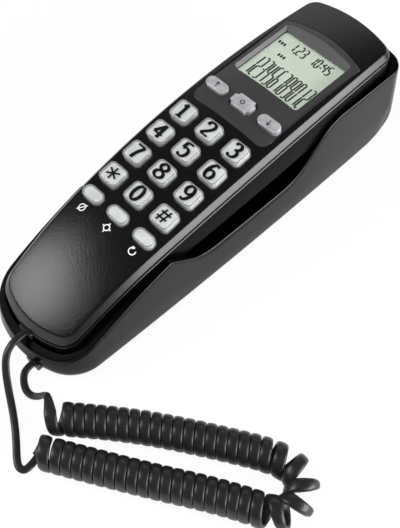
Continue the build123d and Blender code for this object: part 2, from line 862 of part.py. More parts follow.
def handset_rear_shell():
    block = across(rear_profile()) & handset_prism()
    block = fillet(edges_between(block, is_wall, is_underside), rear_edge_radius)
    raised = Pos(0, 0, handset_wall) * across(rear_profile())
    inner = raised & handset_prism(-handset_wall)
    inner = fillet(edges_between(inner, is_wall, is_underside), rear_edge_radius - handset_wall)
    solid = block - inner
    for y, rear_height in handset_screw_places():
        solid += column(0, y, rear_height + handset_wall / 2, boss_split_height(y), handset_boss_diameter)
    solid -= over_seam()
    for y, rear_height in handset_screw_places():
        solid -= handset_screw_hole(y, rear_height - overrun, base_top)
        seat = rear_height + seat_clearance + handset_screw_head_height
        solid -= column(0, y, rear_height - overrun, seat, handset_screw_head_diameter + 2 * seat_clearance)
    for place in PolarLocations(sound_ring_radius, sound_hole_count):
        hole = column(0, 0, rear_head_height - overrun, rear_head_height + 2 * handset_wall, sound_hole_diameter)
        solid -= Pos(0, receiver_y, 0) * place * hole
    solid -= column(
        0, microphone_y, rear_mic_height - overrun, rear_mic_height + 2 * handset_wall, sound_hole_diameter,
    )
    solid -= handset_sleeve(seat_clearance)
    return solid


def handset_screws():
    screws = []
    for y, rear_height in handset_screw_places():
        bottom = rear_height + seat_clearance
        seat = bottom + handset_screw_head_height
        tip = boss_split_height(y) + handset_screw_reach
        head = column(0, y, bottom, seat, handset_screw_head_diameter)
        screws.append(head + column(0, y, seat, tip, handset_screw_diameter))
    return Compound(children=screws)


def display_panel():
    solid = arched_bar(0, panel_thickness, crowned_bottom=True) & panel_prism(0)
    solid -= key_wells()
    return solid - display_opening(rest_gap, -keypad_height / 2, keypad_height / 2)


def lcd_module():
    seat = -display_roof_depth
    glass = display_opening(0, seat, seat + lcd_glass_thickness)
    return glass + display_opening(lcd_board_margin, seat - lcd_board_thickness, seat)


def display_window():
    bottom = lcd_glass_thickness - display_roof_depth
    return display_opening(0, bottom, bottom + window_thickness)


def works_outline(margin):
    """Outline shared by the key mat and the board, on the keypad plane."""
    start, end = board_mic_end + margin, board_head_end - margin
    return Pos(0, (start + end) / 2) * Rectangle(board_width, end - start)


def keypad_mat():
    post_room = board_post_inset + board_post_diameter / 2 + seat_clearance
    mat = slab(works_outline(post_room), board_top, mat_top)
    for name, shape, width, length, proud, x, y in key_table():
        mat += Pos(x, y, 0) * slab(shape(width, length, -dome_margin), mat_top, mat_dome_top)
    return keypad_plane * mat


def main_board():
    return keypad_plane * slab(works_outline(0), board_top - board_thickness, board_top)


def earpiece_receiver():
    bottom = rear_head_height + handset_wall
    return column(0, receiver_y, bottom, bottom + receiver_height, receiver_diameter)


def microphone():
    bottom = rear_mic_height + handset_wall
    return column(0, microphone_y, bottom, bottom + microphone_height, microphone_diameter)


def handset_cord_sleeve():
    return handset_sleeve(0)


# Cord

def corner_radii(points):
    """Largest arcs that the runs of a route leave room for."""
    radii = []
    for before, corner, after in zip(points, points[1:], points[2:]):
        first, second = Vector(*corner) - Vector(*before), Vector(*after) - Vector(*corner)
        turn = math.radians(first.get_angle(second))
        radii.append(corner_share * min(first.length, second.length) / math.tan(turn / 2))
    return radii


def tube(path, name):
    """Round tube along a path, compared with its section times its length."""
    section = Plane(origin=path @ 0, z_dir=path % 0) * Circle(cord_diameter / 2)
    solid = sweep(section, path=path)
    ideal = math.pi * cord_diameter**2 / 4 * path.length
    print(f"{name}: length {path.length:.1f} mm, volume {solid.volume:.1f} of {ideal:.1f} mm3")
    return solid


def biarc(start, start_way, end, end_way):
    """Two tangent arcs from one point and direction to another."""
    chord, ways = end - start, start_way + end_way
    a = ways.dot(ways) - 4
    b = -2 * chord.dot(ways)
    c = chord.dot(chord)
    reach = (-b - math.sqrt(b * b - 4 * a * c)) / (2 * a)
    first, second = start + start_way * reach, end - end_way * reach
    middle = (first + second) * 0.5
    return [
        TangentArc(start, middle, tangent=start_way),
        TangentArc(middle, end, tangent=(second - first).normalized()),
    ]


class Curls:
    """Right-hand helix wound round the cord's line: wider curls in the bend, opened curls at the ends."""

    def __init__(self):
        height = curl_diameter / 2 + curl_floor_gap
        points = [(x, y - base_half_length, height) for x, y in curl_line]
        self.line = FilletPolyline(*points, radius=corner_radii(points))
        self.radius = (curl_diameter - cord_diameter) / 2
        corners = [Vector(*points[i]) for i in curl_bend_corners]
        self.bend_middle = (corners[0] + corners[1]) * 0.5
        self.bend_reach = (corners[0] - corners[1]).length * curl_bend_reach_share
        self.steps = curl_line_steps
        self.turns_at = self.wind()
        self.turns = self.turns_at[-1]

    def pitch(self, s):
        end_run = curl_end_pitch * curl_end_turns
        if s < end_run or s > self.line.length - end_run:
            return curl_end_pitch
        if (self.line.position_at(s / self.line.length) - self.bend_middle).length < self.bend_reach:
            return curl_bend_pitch
        return curl_pitch

    def wind(self):
        """Turns made up to each step along the line, brought to a whole number and a half."""
        step = self.line.length / self.steps
        turns = [0.0]
        for i in range(self.steps):
            turns.append(turns[-1] + step / self.pitch((i + 0.5) * step))
        wanted = math.floor(turns[-1] - 0.5) + 0.5
        return [value * wanted / turns[-1] for value in turns]

    def share(self, turn):
        """Share of the line's length at which a number of turns is reached."""
        i = max(1, next((k for k, value in enumerate(self.turns_at) if value >= turn), self.steps))
        low, high = self.turns_at[i - 1], self.turns_at[i]
        return (i - 1 + (turn - low) / (high - low)) / self.steps

    def point(self, turn):
        share = self.share(min(max(turn, 0.0), self.turns))
        side = Vector(0, 0, 1).cross(self.line.tangent_at(share)).normalized()
        angle = math.pi / 2 + 2 * math.pi * turn
        rise = Vector(0, 0, 1) * (self.radius * math.sin(angle))
        return self.line.position_at(share) + side * (self.radius * math.cos(angle)) + rise

    def way(self, turn):
        """Direction of the cord, level at both ends of the helix."""
        back = max(turn - curl_nudge_turns, 0.0)
        ahead = min(turn + curl_nudge_turns, self.turns)
        way = self.point(ahead) - self.point(back)
        if turn in (0.0, self.turns):
            way = Vector(way.X, way.Y, 0)
        return way.normalized()

    def path(self):
        halves = [i / 2 for i in range(int(round(self.turns * 2)) + 1)]
        edges = []
        for low, high in zip(halves, halves[1:]):
            edges += biarc(self.point(low), self.way(low), self.point(high), self.way(high))
        start, end = self.point(0.0), self.point(self.turns)
        lead_in = Line(start - self.way(0.0) * cord_diameter, start)
        lead_out = Line(end, end + self.way(self.turns) * cord_diameter)
        return Wire([edge.edge() for edge in [lead_in] + edges + [lead_out]])


def least_gap(path):
    """Smallest distance between turns of one tube, measured on points along it."""
    count = gap_points
    points = [path.position_at(i / count) for i in range(count + 1)]
    near = int(math.pi * cord_diameter / (path.length / count)) + 1
    reach = int(gap_reach_turns * math.pi * curl_diameter / (path.length / count))
    nearest = min(
        (points[i] - points[j]).length
        for i in range(count + 1)
        for j in range(i + near, min(i + reach, count + 1))
    )
    return nearest - cord_diameter


def cord_tail(from_mic_end, ending, name):
    route = [(x, y - base_half_length, z) for x, y, z in from_mic_end] + ending
    radii = corner_radii(route)
    print(name, "radii", [round(radius, 1) for radius in radii])
    return tube(FilletPolyline(*route, radius=radii).wire(), name)


def cord_pieces():
    """Curls and both tails, each tail ending where the curls begin or end."""
    curls = Curls()
    path = curls.path()
    gap = least_gap(path)
    print(f"curls: {curls.turns} turns, least gap to itself {gap:.2f} mm, wanted over {least_cord_gap} mm")
    start, end = path @ 0, path @ 1
    print("curl ends", start, path % 0, end, path % 1)
    base_end = [tuple(start - (path % 0) * tail_end_run), tuple(start)]
    handset_end = [tuple(end + (path % 1) * tail_end_run), tuple(end)]
    return {
        "curly_cord": tube(path, "curly_cord"),
        "cord_base_tail": cord_tail(base_tail_route, base_end, "cord_base_tail"),
        "cord_handset_tail": cord_tail(handset_tail_route, handset_end, "cord_handset_tail"),
    }


def all_pieces():
    pieces = {
        "base_shell": base_shell(),
        "base_back_plate": base_back_plate(),
        "base_screws": base_screws(),
        "base_board": base_board(),
        "ringer": ringer(),
        "line_jack": line_jack(),
        "hook_switch": hook_switch(),
        "hook_plunger": hook_plunger(),
        "base_cord_sleeve": base_cord_sleeve(),
        "handset_front_shell": handset_front_shell(),
        "handset_rear_shell": handset_rear_shell(),
        "handset_screws": handset_screws(),
        "display_panel": display_panel(),
        "display_window": display_window(),
        "lcd_module": lcd_module(),
        "keypad_mat": keypad_mat(),
        "main_board": main_board(),
        "earpiece_receiver": earpiece_receiver(),
        "microphone": microphone(),
        "handset_cord_sleeve": handset_cord_sleeve(),
    }
    for name, *key in key_table():
        pieces[name] = key_cap(*key)
    pieces.update(cord_pieces())
    return pieces


os.makedirs("parts", exist_ok=True)
for node, shape in all_pieces().items():
    export_step(shape, f"parts/{node}.step")
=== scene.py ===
# %% [markdown]
# # A slim wall telephone
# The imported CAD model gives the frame: every solid, body and joint already has its place. This lesson
# dresses that frame. Shapes are worked out in millimetres as numpy arrays and become metres in the mesh.
# X runs across the phone, Y from the mouthpiece to the earpiece, Z up from the table.

# %% Load the frame
import math

import bmesh
import bpy
import numpy as np
from mathutils import Matrix, Vector


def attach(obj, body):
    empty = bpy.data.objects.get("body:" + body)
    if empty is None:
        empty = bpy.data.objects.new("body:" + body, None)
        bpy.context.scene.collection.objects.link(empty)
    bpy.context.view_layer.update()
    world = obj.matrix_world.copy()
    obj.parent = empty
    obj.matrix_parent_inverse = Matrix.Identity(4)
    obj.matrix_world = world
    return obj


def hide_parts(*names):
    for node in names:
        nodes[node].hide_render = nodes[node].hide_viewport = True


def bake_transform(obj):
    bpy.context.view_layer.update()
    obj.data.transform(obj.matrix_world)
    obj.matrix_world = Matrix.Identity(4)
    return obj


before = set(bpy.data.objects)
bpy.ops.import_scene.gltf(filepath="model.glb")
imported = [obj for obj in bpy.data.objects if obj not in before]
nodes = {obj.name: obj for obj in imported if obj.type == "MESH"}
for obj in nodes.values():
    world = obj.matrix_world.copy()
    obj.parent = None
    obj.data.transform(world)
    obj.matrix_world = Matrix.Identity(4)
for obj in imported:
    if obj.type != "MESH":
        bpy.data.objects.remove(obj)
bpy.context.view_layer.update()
MM = 0.001

# %% [markdown]
# ## Camera
# The camera stands where the photograph was taken from: in front, to the right and well above. Its place,
# direction and lens were fitted to the keys, the rim and the outline, so it needs no shift.

# %% Camera
CAMERA_PLACE = Vector((0.176235, -0.172679, 0.336051))
CAMERA_AZIMUTH, CAMERA_ELEVATION, CAMERA_ROLL = 45.972, 56.545, -0.409
CAMERA_LENS, SENSOR_WIDTH, CLIP_START = 69.98, 36.0, 0.01


def facing(azimuth, elevation):
    """Unit vector from the object towards a viewer at that azimuth and elevation."""
    a, e = math.radians(azimuth), math.radians(elevation)
    return Vector((math.sin(a) * math.cos(e), -math.cos(a) * math.cos(e), math.sin(e)))


camera = bpy.data.objects.new("camera", bpy.data.cameras.new("camera"))
bpy.context.scene.collection.objects.link(camera)
camera.data.lens = CAMERA_LENS
camera.data.sensor_width = SENSOR_WIDTH
camera.data.clip_start = CLIP_START
backward = facing(CAMERA_AZIMUTH, CAMERA_ELEVATION)
level_right = Vector((0, 0, 1)).cross(backward).normalized()
turn = Matrix((level_right, backward.cross(level_right), backward)).transposed().to_4x4()
roll = Matrix.Rotation(math.radians(CAMERA_ROLL), 4, "Z")
camera.matrix_world = Matrix.Translation(CAMERA_PLACE) @ turn @ roll
bpy.context.scene.camera = camera
print("camera to origin m", round(CAMERA_PLACE.length, 3))

# %% [markdown]
# ## Materials
# One function turns a written colour into the linear values that shaders use, and one adds a node with its
# settings and links. Everything else is built from these two. Materials could also be clicked together in
# the shader editor, but a few lines of code can be read, compared and changed.

# %% Material helpers
GRAIN_DETAIL, GRAIN_HEIGHT_SHARE = 3.0, 0.2  # finer layers of the noise, its height as a share of a grain
MIX_DARK, MIX_LIGHT, MIX_RESULT = 6, 7, 2  # the colour sockets of a Mix node


def linear(code):
    """sRGB hex colour to linear light: the usual curve, channel by channel."""
    value = np.array([int(code[i:i + 2], 16) for i in (1, 3, 5)]) / 255.0
    value = np.where(value <= 0.04045, value / 12.92, ((value + 0.055) / 1.055) ** 2.4)
    return (*value.tolist(), 1.0)


def add(tree, kind, inputs=(), **settings):
    """Adds a node; settings are its own properties, inputs its sockets as values or linked outputs."""
    node = tree.nodes.new(kind)
    for key, value in settings.items():
        setattr(node, key, value)
    for key, value in dict(inputs).items():
        if isinstance(value, bpy.types.NodeSocket):
            tree.links.new(value, node.inputs[key])
        else:
            node.inputs[key].default_value = value
    return node


def finish_material(name, **sockets):
    """New material with one Principled shader; sockets set its plain values."""
    material = bpy.data.materials.new(name)
    material.use_nodes = True
    tree = material.node_tree
    shader = tree.nodes["Principled BSDF"]
    for key, value in sockets.items():
        shader.inputs[key.replace("_", " ")].default_value = value
    return material, tree, shader


def grain(tree, shader, size_mm, depth, rough_low, rough_high):
    """Moulded texture: noise of one grain size moves the surface and its roughness a little."""
    place = add(tree, "ShaderNodeTexCoord")
    noise = add(tree, "ShaderNodeTexNoise", {
        "Vector": place.outputs["Object"], "Scale": 1.0 / (size_mm * MM), "Detail": GRAIN_DETAIL})
    rough = add(tree, "ShaderNodeMapRange", {
        "Value": noise.outputs["Fac"], "To Min": rough_low, "To Max": rough_high})
    bump = add(tree, "ShaderNodeBump", {
        "Height": noise.outputs["Fac"], "Strength": depth, "Distance": size_mm * MM * GRAIN_HEIGHT_SHARE})
    tree.links.new(rough.outputs["Result"], shader.inputs["Roughness"])
    tree.links.new(bump.outputs["Normal"], shader.inputs["Normal"])
    return noise


def tinted(tree, shader, noise, dark, light):
    """Colour that wanders between two close shades with a noise."""
    mix = add(tree, "ShaderNodeMix", {
        "Factor": noise.outputs["Fac"], MIX_DARK: linear(dark), MIX_LIGHT: linear(light)}, data_type="RGBA")
    tree.links.new(mix.outputs[MIX_RESULT], shader.inputs["Base Color"])


print("black in linear light", [round(value, 4) for value in linear("#0a0a0b")])

# %% [markdown]
# The front cover is ABS moulded against a fine spark-eroded tool: black, satin, with a grain that breaks the
# highlight into specks. The base's walls are polished and mirror the floor dimly, while its cradle and the
# rear cover stay dull and dark. The strip round the face is polished less finely than the base. Black, grey,
# silver and white pieces are all one recipe: two close shades, a grain size in millimetres and a range of
# roughness. Moulding grain is really about a tenth of a millimetre, too fine for a picture of the whole
# phone, so it is drawn coarser here.

# %% Plastics, metals and prints
# name: shades, grain in mm, depth of the grain, least and most roughness, other sockets
RECIPES = {
    # ABS from a spark-eroded tool: a satin face whose highlight breaks into specks
    "Black satin ABS": ("#050505", "#0a0a0b", 0.6, 0.7, 0.18, 0.26, {"IOR": 1.5}),
    # ABS from polished tools: a soft glint on the strip, a dim mirror on the base, hardly any on the rest
    "Black polished ABS strip": ("#0c0c0d", "#111112", 1.2, 0.02, 0.26, 0.32, {"IOR": 1.5}),
    "Black gloss ABS": ("#040404", "#060606", 9.0, 0.02, 0.10, 0.16, {
        "IOR": 1.5, "Specular_IOR_Level": 0.17}),
    "Black low-gloss ABS": ("#040404", "#060606", 3.0, 0.03, 0.22, 0.30, {
        "IOR": 1.5, "Specular_IOR_Level": 0.02}),
    # ABS from a blasted tool: dull, for what faces the wall or lies inside
    "Black plain ABS": ("#0b0b0b", "#111111", 0.5, 0.20, 0.45, 0.60, {"IOR": 1.5}),
    # polycarbonate from a blasted tool: an even grey without a clear highlight; the darker one is also
    # painted shade round the key cores
    "Grey satin polycarbonate and painted shade": ("#2c2c2c", "#343434", 0.4, 0.12, 0.36, 0.44, {"IOR": 1.55}),
    "Light grey polycarbonate": ("#3e3e3e", "#484848", 0.5, 0.10, 0.38, 0.46, {"IOR": 1.55}),
    # soft PVC from an extruder: a dull sheen on each curl
    "Black soft PVC": ("#151515", "#1d1d1d", 0.8, 0.15, 0.30, 0.42, {"IOR": 1.52}),
    # plastic with silver flakes: light and dark clouds, far coarser than the flakes so that they show
    "Silver-white key core": ("#9c9da0", "#dedfe2", 3.5, 0.03, 0.24, 0.32, {"IOR": 1.52}),
    "Silver key plastic": ("#727376", "#b2b3b6", 2.5, 0.03, 0.20, 0.28, {"IOR": 1.52, "Coat_Weight": 0.4}),
    # pad printing ink: a thin film, nearly even
    "Black pad print": ("#060606", "#0b0b0b", 0.3, 0.05, 0.30, 0.40, {"IOR": 1.5}),
    "White pad print": ("#d8d8d8", "#e8e8e8", 0.3, 0.05, 0.45, 0.55, {"IOR": 1.5}),
    # display glass with its polarising film: a pale greenish grey, smooth
    "Liquid crystal glass": ("#c4ccc3", "#d0d7cf", 6.0, 0.01, 0.28, 0.34, {"IOR": 1.5}),
    # glass fibre board under green lacquer: the weave shows as soft clouds
    "Green circuit board": ("#0f3d1c", "#195028", 1.5, 0.10, 0.35, 0.50, {"IOR": 1.5}),
    # steel with a thin coat of zinc: a bluish, slightly rough metal
    "Zinc plated steel": ("#a9abad", "#bdbfc0", 0.6, 0.10, 0.28, 0.40, {"Metallic": 1.0}),
    # acetal as moulded: waxy white
    "White acetal": ("#d9d8d2", "#e4e3de", 0.8, 0.10, 0.35, 0.45, {"IOR": 1.48}),
    # silicone rubber as moulded: dull and pale
    "Translucent silicone rubber": ("#c9c8c3", "#d6d5d0", 0.7, 0.10, 0.50, 0.65, {"IOR": 1.41}),
    # polycarbonate with some black in it: dark and shiny
    "Smoked polycarbonate": ("#2a2a2c", "#333336", 3.0, 0.03, 0.12, 0.20, {"IOR": 1.58}),
}
finishes = {}
for name, (dark, light, size_mm, depth, rough_low, rough_high, sockets) in RECIPES.items():
    finishes[name], tree, shader = finish_material(name, **sockets)
    tinted(tree, shader, grain(tree, shader, size_mm, depth, rough_low, rough_high), dark, light)
print("finishes", len(finishes))

# %% [markdown]
# The window and the skin of the keys are thin clear acrylic. A glass shader would bend light at every face
# and darken what lies behind. So thin a piece hardly bends it, so here light goes through unturned, under a
# mirror that grows with the fifth power of the lean, the usual short formula for how much clear plastic
# mirrors. The skin of the keys is a little milky, which shows as a pale edge round each key.

# %% Clear acrylic
ACRYLIC_IOR, PANE_ROUGHNESS, PANE_WAVE_MM = 1.49, 0.04, 14.0
CLEAR_TINT, MILK_COLOUR, MILK_SHARE = "#fcfdfb", "#e6e8ea", 0.22
LEAN_POWER, EVEN_BLEND = 5.0, 0.5


def clear_acrylic(name, milk):
    """Clear plastic: see-through with a share of white in it, under a mirror that grows with the lean."""
    material = bpy.data.materials.new(name)
    material.use_nodes = True
    tree = material.node_tree
    tree.nodes.remove(tree.nodes["Principled BSDF"])
    place = add(tree, "ShaderNodeTexCoord")
    wave = add(tree, "ShaderNodeTexNoise", {
        "Vector": place.outputs["Object"], "Scale": 1.0 / (PANE_WAVE_MM * MM)})
    rough = add(tree, "ShaderNodeMapRange", {
        "Value": wave.outputs["Fac"], "To Min": PANE_ROUGHNESS / 2, "To Max": PANE_ROUGHNESS})
    body = add(tree, "ShaderNodeBsdfTransparent", {"Color": linear(CLEAR_TINT)})
    if milk:
        white = add(tree, "ShaderNodeBsdfDiffuse", {"Color": linear(MILK_COLOUR)})
        body = add(tree, "ShaderNodeMixShader", {0: milk, 1: body.outputs[0], 2: white.outputs[0]})
    mirror = add(tree, "ShaderNodeBsdfGlossy", {"Roughness": rough.outputs["Result"]})
    straight = ((ACRYLIC_IOR - 1) / (ACRYLIC_IOR + 1)) ** 2
    lean = add(tree, "ShaderNodeLayerWeight", {"Blend": EVEN_BLEND})
    steep = add(tree, "ShaderNodeMath", {
        0: lean.outputs["Facing"], 1: LEAN_POWER}, operation="POWER")
    share = add(tree, "ShaderNodeMath", {
        0: steep.outputs[0], 1: 1 - straight, 2: straight}, operation="MULTIPLY_ADD")
    mixed = add(tree, "ShaderNodeMixShader", {
        0: share.outputs[0], 1: body.outputs[0], 2: mirror.outputs[0]})
    tree.links.new(mixed.outputs[0], tree.nodes["Material Output"].inputs["Surface"])
    return material


window_clear = clear_acrylic("Clear acrylic", 0.0)
key_clear = clear_acrylic("Milky clear acrylic", MILK_SHARE)
print("materials", len(bpy.data.materials))

# %% [markdown]
# ## Meshes
# A shape here is a grid: rows of points that run round the piece, one row after the other. Faces join each
# row to the next and close the ring. Rows that shrink to a line are merged, which closes the piece. Boxes
# and modifiers could make simpler pieces, but a moulded cover curves both ways, and a grid follows that.

# %% Meshes from rows
SHARP_DEGREES, MERGE_MM = 35.0, 0.0005


def add_object(name, mesh, finish, body):
    """Puts a finished mesh into the scene, with its finish, on a CAD body."""
    piece = bpy.data.objects.new(name, mesh)
    bpy.context.scene.collection.objects.link(piece)
    mesh.materials.append(finishes.get(finish, finish))
    if body is not None:
        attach(piece, body)
    return piece


def mesh_from(name, points, faces, sharp=SHARP_DEGREES):
    """Mesh from points in millimetres; doubles merged, faces turned outwards, sharp edges kept."""
    mesh = bpy.data.meshes.new(name)
    mesh.from_pydata((np.asarray(points, float).reshape(-1, 3) * MM).tolist(), [], faces)
    work = bmesh.new()
    work.from_mesh(mesh)
    bmesh.ops.remove_doubles(work, verts=work.verts, dist=MERGE_MM * MM)
    bmesh.ops.dissolve_degenerate(work, edges=work.edges, dist=MERGE_MM * MM)
    bmesh.ops.recalc_face_normals(work, faces=work.faces)
    work.to_mesh(mesh)
    work.free()
    mesh.shade_smooth()
    mesh.set_sharp_from_angle(angle=math.radians(sharp))
    return mesh


def ring_faces(rows, around, closed_rows=False):
    """Quads of a grid whose rows are closed rings: each point with its right and upper neighbours."""
    r = np.arange(rows if closed_rows else rows - 1)[:, None]
    c = np.arange(around)[None, :]
    low, high = r * around, ((r + 1) % rows) * around
    nxt = (c + 1) % around
    return np.stack([low + c, low + nxt, high + nxt, high + c], -1).reshape(-1, 4).tolist()


def skin(name, rows, sharp=SHARP_DEGREES, closed_rows=False):
    """Closed mesh from rows of shape (rows, around, 3), which end in lines or meet each other."""
    rows = np.asarray(rows, float)
    return mesh_from(name, rows, ring_faces(*rows.shape[:2], closed_rows), sharp)


def blocks_mesh(name, blocks, sharp=SHARP_DEGREES):
    """One mesh of several separate closed blocks: each a few rows with its first and last ring filled."""
    points, faces, start = [], [], 0
    for rows in blocks:
        count, around = rows.shape[:2]
        points.append(rows.reshape(-1, 3))
        own = ring_faces(count, around)
        own += [list(range(around))[::-1], list(range((count - 1) * around, count * around))]
        faces += [[index + start for index in face] for face in own]
        start += count * around
    return mesh_from(name, np.concatenate(points), faces, sharp)


print("quads between three rings of four points", len(ring_faces(3, 4)))

# %% [markdown]
# Profiles and outlines are drawn as corners, and each corner is then rounded. A parabola between two points
# beside the corner is the shortest formula for that, and at this size it looks like an arc.

# %% Rounded lines
LONGEST_REACH_SHARE = 0.49  # of a side, so that two roundings never meet


def rounded(corners, reaches, steps=5):
    """Polyline with its inner corners rounded: each becomes a parabola between points one reach away."""
    corners = np.asarray(corners, float)
    line = [corners[:1]]
    for before, corner, after, reach in zip(corners, corners[1:], corners[2:], reaches):
        a, b = before - corner, after - corner
        la, lb = np.linalg.norm(a), np.linalg.norm(b)
        reach = min(reach, LONGEST_REACH_SHARE * la, LONGEST_REACH_SHARE * lb)
        t = np.linspace(0, 1, steps + 1)[:, None]
        start, end = corner + a / la * reach, corner + b / lb * reach
        line.append((1 - t) ** 2 * start + 2 * t * (1 - t) * corner + t**2 * end)
    return np.concatenate(line + [corners[-1:]])


def unit(vectors):
    """Vectors divided by their lengths."""
    return vectors / np.linalg.norm(vectors, axis=-1, keepdims=True)


print("a square corner in", len(rounded([(0, 1), (0, 0), (1, 0)], [0.5])), "points")

# %% [markdown]
# Holes are cut with a boolean, because they cross the grid's rows. The modifier is worked out at once, so
# that the piece is plain mesh again. Some faces of a piece have another polish, and a rule on their
# directions and places finds them.

# %% Cutting and painting


def cut(piece, cutter_mesh):
    """Takes a closed mesh away from a piece, once and for good."""
    cutter = bpy.data.objects.new("cutter", cutter_mesh)
    bpy.context.scene.collection.objects.link(cutter)
    change = piece.modifiers.new("cut", "BOOLEAN")
    change.operation, change.object, change.solver = "DIFFERENCE", cutter, "MANIFOLD"
    graph = bpy.context.evaluated_depsgraph_get()
    before = len(piece.data.polygons)
    mesh = bpy.data.meshes.new_from_object(piece.evaluated_get(graph))
    piece.modifiers.clear()
    piece.data = mesh
    bpy.data.objects.remove(cutter)
    mesh.set_sharp_from_angle(angle=math.radians(SHARP_DEGREES))
    print(piece.name, "faces", before, "->", len(mesh.polygons))


def paint(piece, finish, chosen):
    """Gives the faces that a rule on their normals and middles (in mm) chooses another finish."""
    mesh = piece.data
    count = len(mesh.polygons)
    normals, middles = np.empty(count * 3), np.empty(count * 3)
    mesh.polygons.foreach_get("normal", normals)
    mesh.polygons.foreach_get("center", middles)
    mask = chosen(normals.reshape(-1, 3), middles.reshape(-1, 3) / MM)
    index = np.empty(count, np.int32)
    mesh.polygons.foreach_get("material_index", index)
    mesh.materials.append(finishes[finish])
    index[mask] = len(mesh.materials) - 1
    mesh.polygons.foreach_set("material_index", index)
    print(piece.name, finish, "on faces", int(mask.sum()))


def leaning(least, most):
    """Rule that chooses the faces whose normals rise by more than one share and less than another."""
    return lambda normals, middles: (normals[:, 2] > least) & (normals[:, 2] < most)


# %% [markdown]
# Base and handset share one kind of plan outline: two long bowed sides, two arched ends and four rounded
# corners. Each is a circle arc, and a corner's centre lies where two shrunken arcs cross. A spline through a
# few points would be quicker, but arcs grow and shrink by one number, and outlines with the same number of
# points can be joined ring to ring.

# %% Plan outline
SIDE_STEPS, CORNER_STEPS, END_STEPS = 150, 14, 26
LEAST_CORNER = 0.2


def arc(centre, radius, start, end, steps):
    """Points on a circle between two angles, the last one left out."""
    angle = np.linspace(start, end, steps, endpoint=False)
    return np.stack([centre[0] + radius * np.cos(angle), centre[1] + radius * np.sin(angle)], 1)


def crossing(c1, r1, c2, r2, upward):
    """Where two circles cross, on the right, at the higher or lower place."""
    d = c2 - c1
    reach = np.linalg.norm(d)
    along_line = (r1**2 - r2**2 + reach**2) / (2 * reach)
    off = math.sqrt(max(r1**2 - along_line**2, 0))
    side = np.array([-d[1], d[0]]) / reach
    both = [c1 + d / reach * along_line + side * off, c1 + d / reach * along_line - side * off]
    return max(both, key=lambda p: (p[0] > 0, p[1] if upward else -p[1]))


def plan(width, ends, widest, bow, mic, head, grow=0.0):
    """Closed outline, counter-clockwise from the mic end of the right side, grown by one distance.

    ends are the two Y, widest is where the sides bulge most, bow is their radius, and mic and head give
    each end's radius with that of its corners."""
    radius, half = bow + grow, width / 2 + grow
    side_c = np.array([half - radius, widest])
    mic_c, head_c = np.array([0.0, ends[0] + mic[0]]), np.array([0.0, ends[1] - head[0]])
    found = []
    for end_c, (end_r, corner), upward in ((mic_c, mic, False), (head_c, head, True)):
        corner, end_r = max(corner + grow, LEAST_CORNER), end_r + grow
        centre = crossing(side_c, radius - corner, end_c, end_r - corner, upward)
        on_side = math.atan2(*(centre - side_c)[::-1])
        on_end = math.atan2(*(centre - end_c)[::-1])
        found.append((centre, corner, on_side, on_end, end_r))
    (mc, mr, m_side, m_end, m_r), (hc, hr, h_side, h_end, h_r) = found
    flip = np.array([-1.0, 1.0])
    return np.concatenate([
        arc(side_c, radius, m_side, h_side, SIDE_STEPS),
        arc(hc, hr, h_side, h_end, CORNER_STEPS),
        arc(head_c, h_r, h_end, math.pi - h_end, END_STEPS),
        arc(hc, hr, h_end, h_side, CORNER_STEPS) * flip,
        arc(side_c, radius, h_side, m_side, SIDE_STEPS) * flip,
        arc(mc, mr, m_side, m_end, CORNER_STEPS) * flip,
        arc(mic_c, m_r, -math.pi - m_end, m_end, END_STEPS),
        arc(mc, mr, m_end, m_side, CORNER_STEPS)])


print("points of an outline", 2 * SIDE_STEPS + 4 * CORNER_STEPS + 2 * END_STEPS)

# %% [markdown]
# The handset is a little shorter and narrower than the base, and its sides bow more. Both outlines are needed
# again and again with an inset or a gap, so each has a function that grows it.

# %% Outlines of base and handset
BASE_HALF = 94.0
# width, ends, place of the greatest width, bow of the sides, each end's radius with that of its corners
BASE_PLAN = (51.2, (-BASE_HALF, BASE_HALF), 0.0, 3000.0, (41.0, 16.0), (77.0, 10.0))
HANDSET_PLAN = (46.6, (-89.4, 86.3), 17.0, 1200.0, (38.0, 8.0), (71.0, 6.5))


def base_plan(grow=0.0):
    """Outline of the base, grown by one distance."""
    return plan(*BASE_PLAN, grow)


def handset_plan(grow=0.0):
    """Outline of the handset, grown by one distance."""
    return plan(*HANDSET_PLAN, grow)


print("base mm", np.ptp(base_plan(), axis=0).round(1), "handset mm", np.ptp(handset_plan(), axis=0).round(1))

# %% [markdown]
# A ring of the plan becomes a row of a piece in two steps. It shrinks towards a line along the middle, where
# the surface closes, and each of its points gets a height.

# %% Rings to rows


def inwards(ring, shares, reach):
    """Rings that shrink from a ring to a line along the middle, which stops short of both ends."""
    low, high = ring[:, 1].min() + reach, ring[:, 1].max() - reach
    spine = np.stack([np.zeros(len(ring)), np.clip(ring[:, 1], low, high)], 1)
    return [spine + (ring - spine) * share for share in shares]


def lifted(ring, height):
    """Ring in the plan with a height for each point."""
    return np.column_stack([ring, np.broadcast_to(height, len(ring))])


def along(line, ring):
    """Height of a side-view line at each point of a ring."""
    return np.interp(ring[:, 1], line[:, 0], line[:, 1])


print("row of", lifted(base_plan(), 0.0).shape)

# %% [markdown]
# ## Face of the handset
# Seen from the side, the face is a long arc that runs into a tighter one towards the mouthpiece. Seen from
# the end, it is crowned. A depth under that face is again two arcs, with shorter radii. One formula for the
# face serves the cover, the panel, the keys and the prints, so they fit each other.

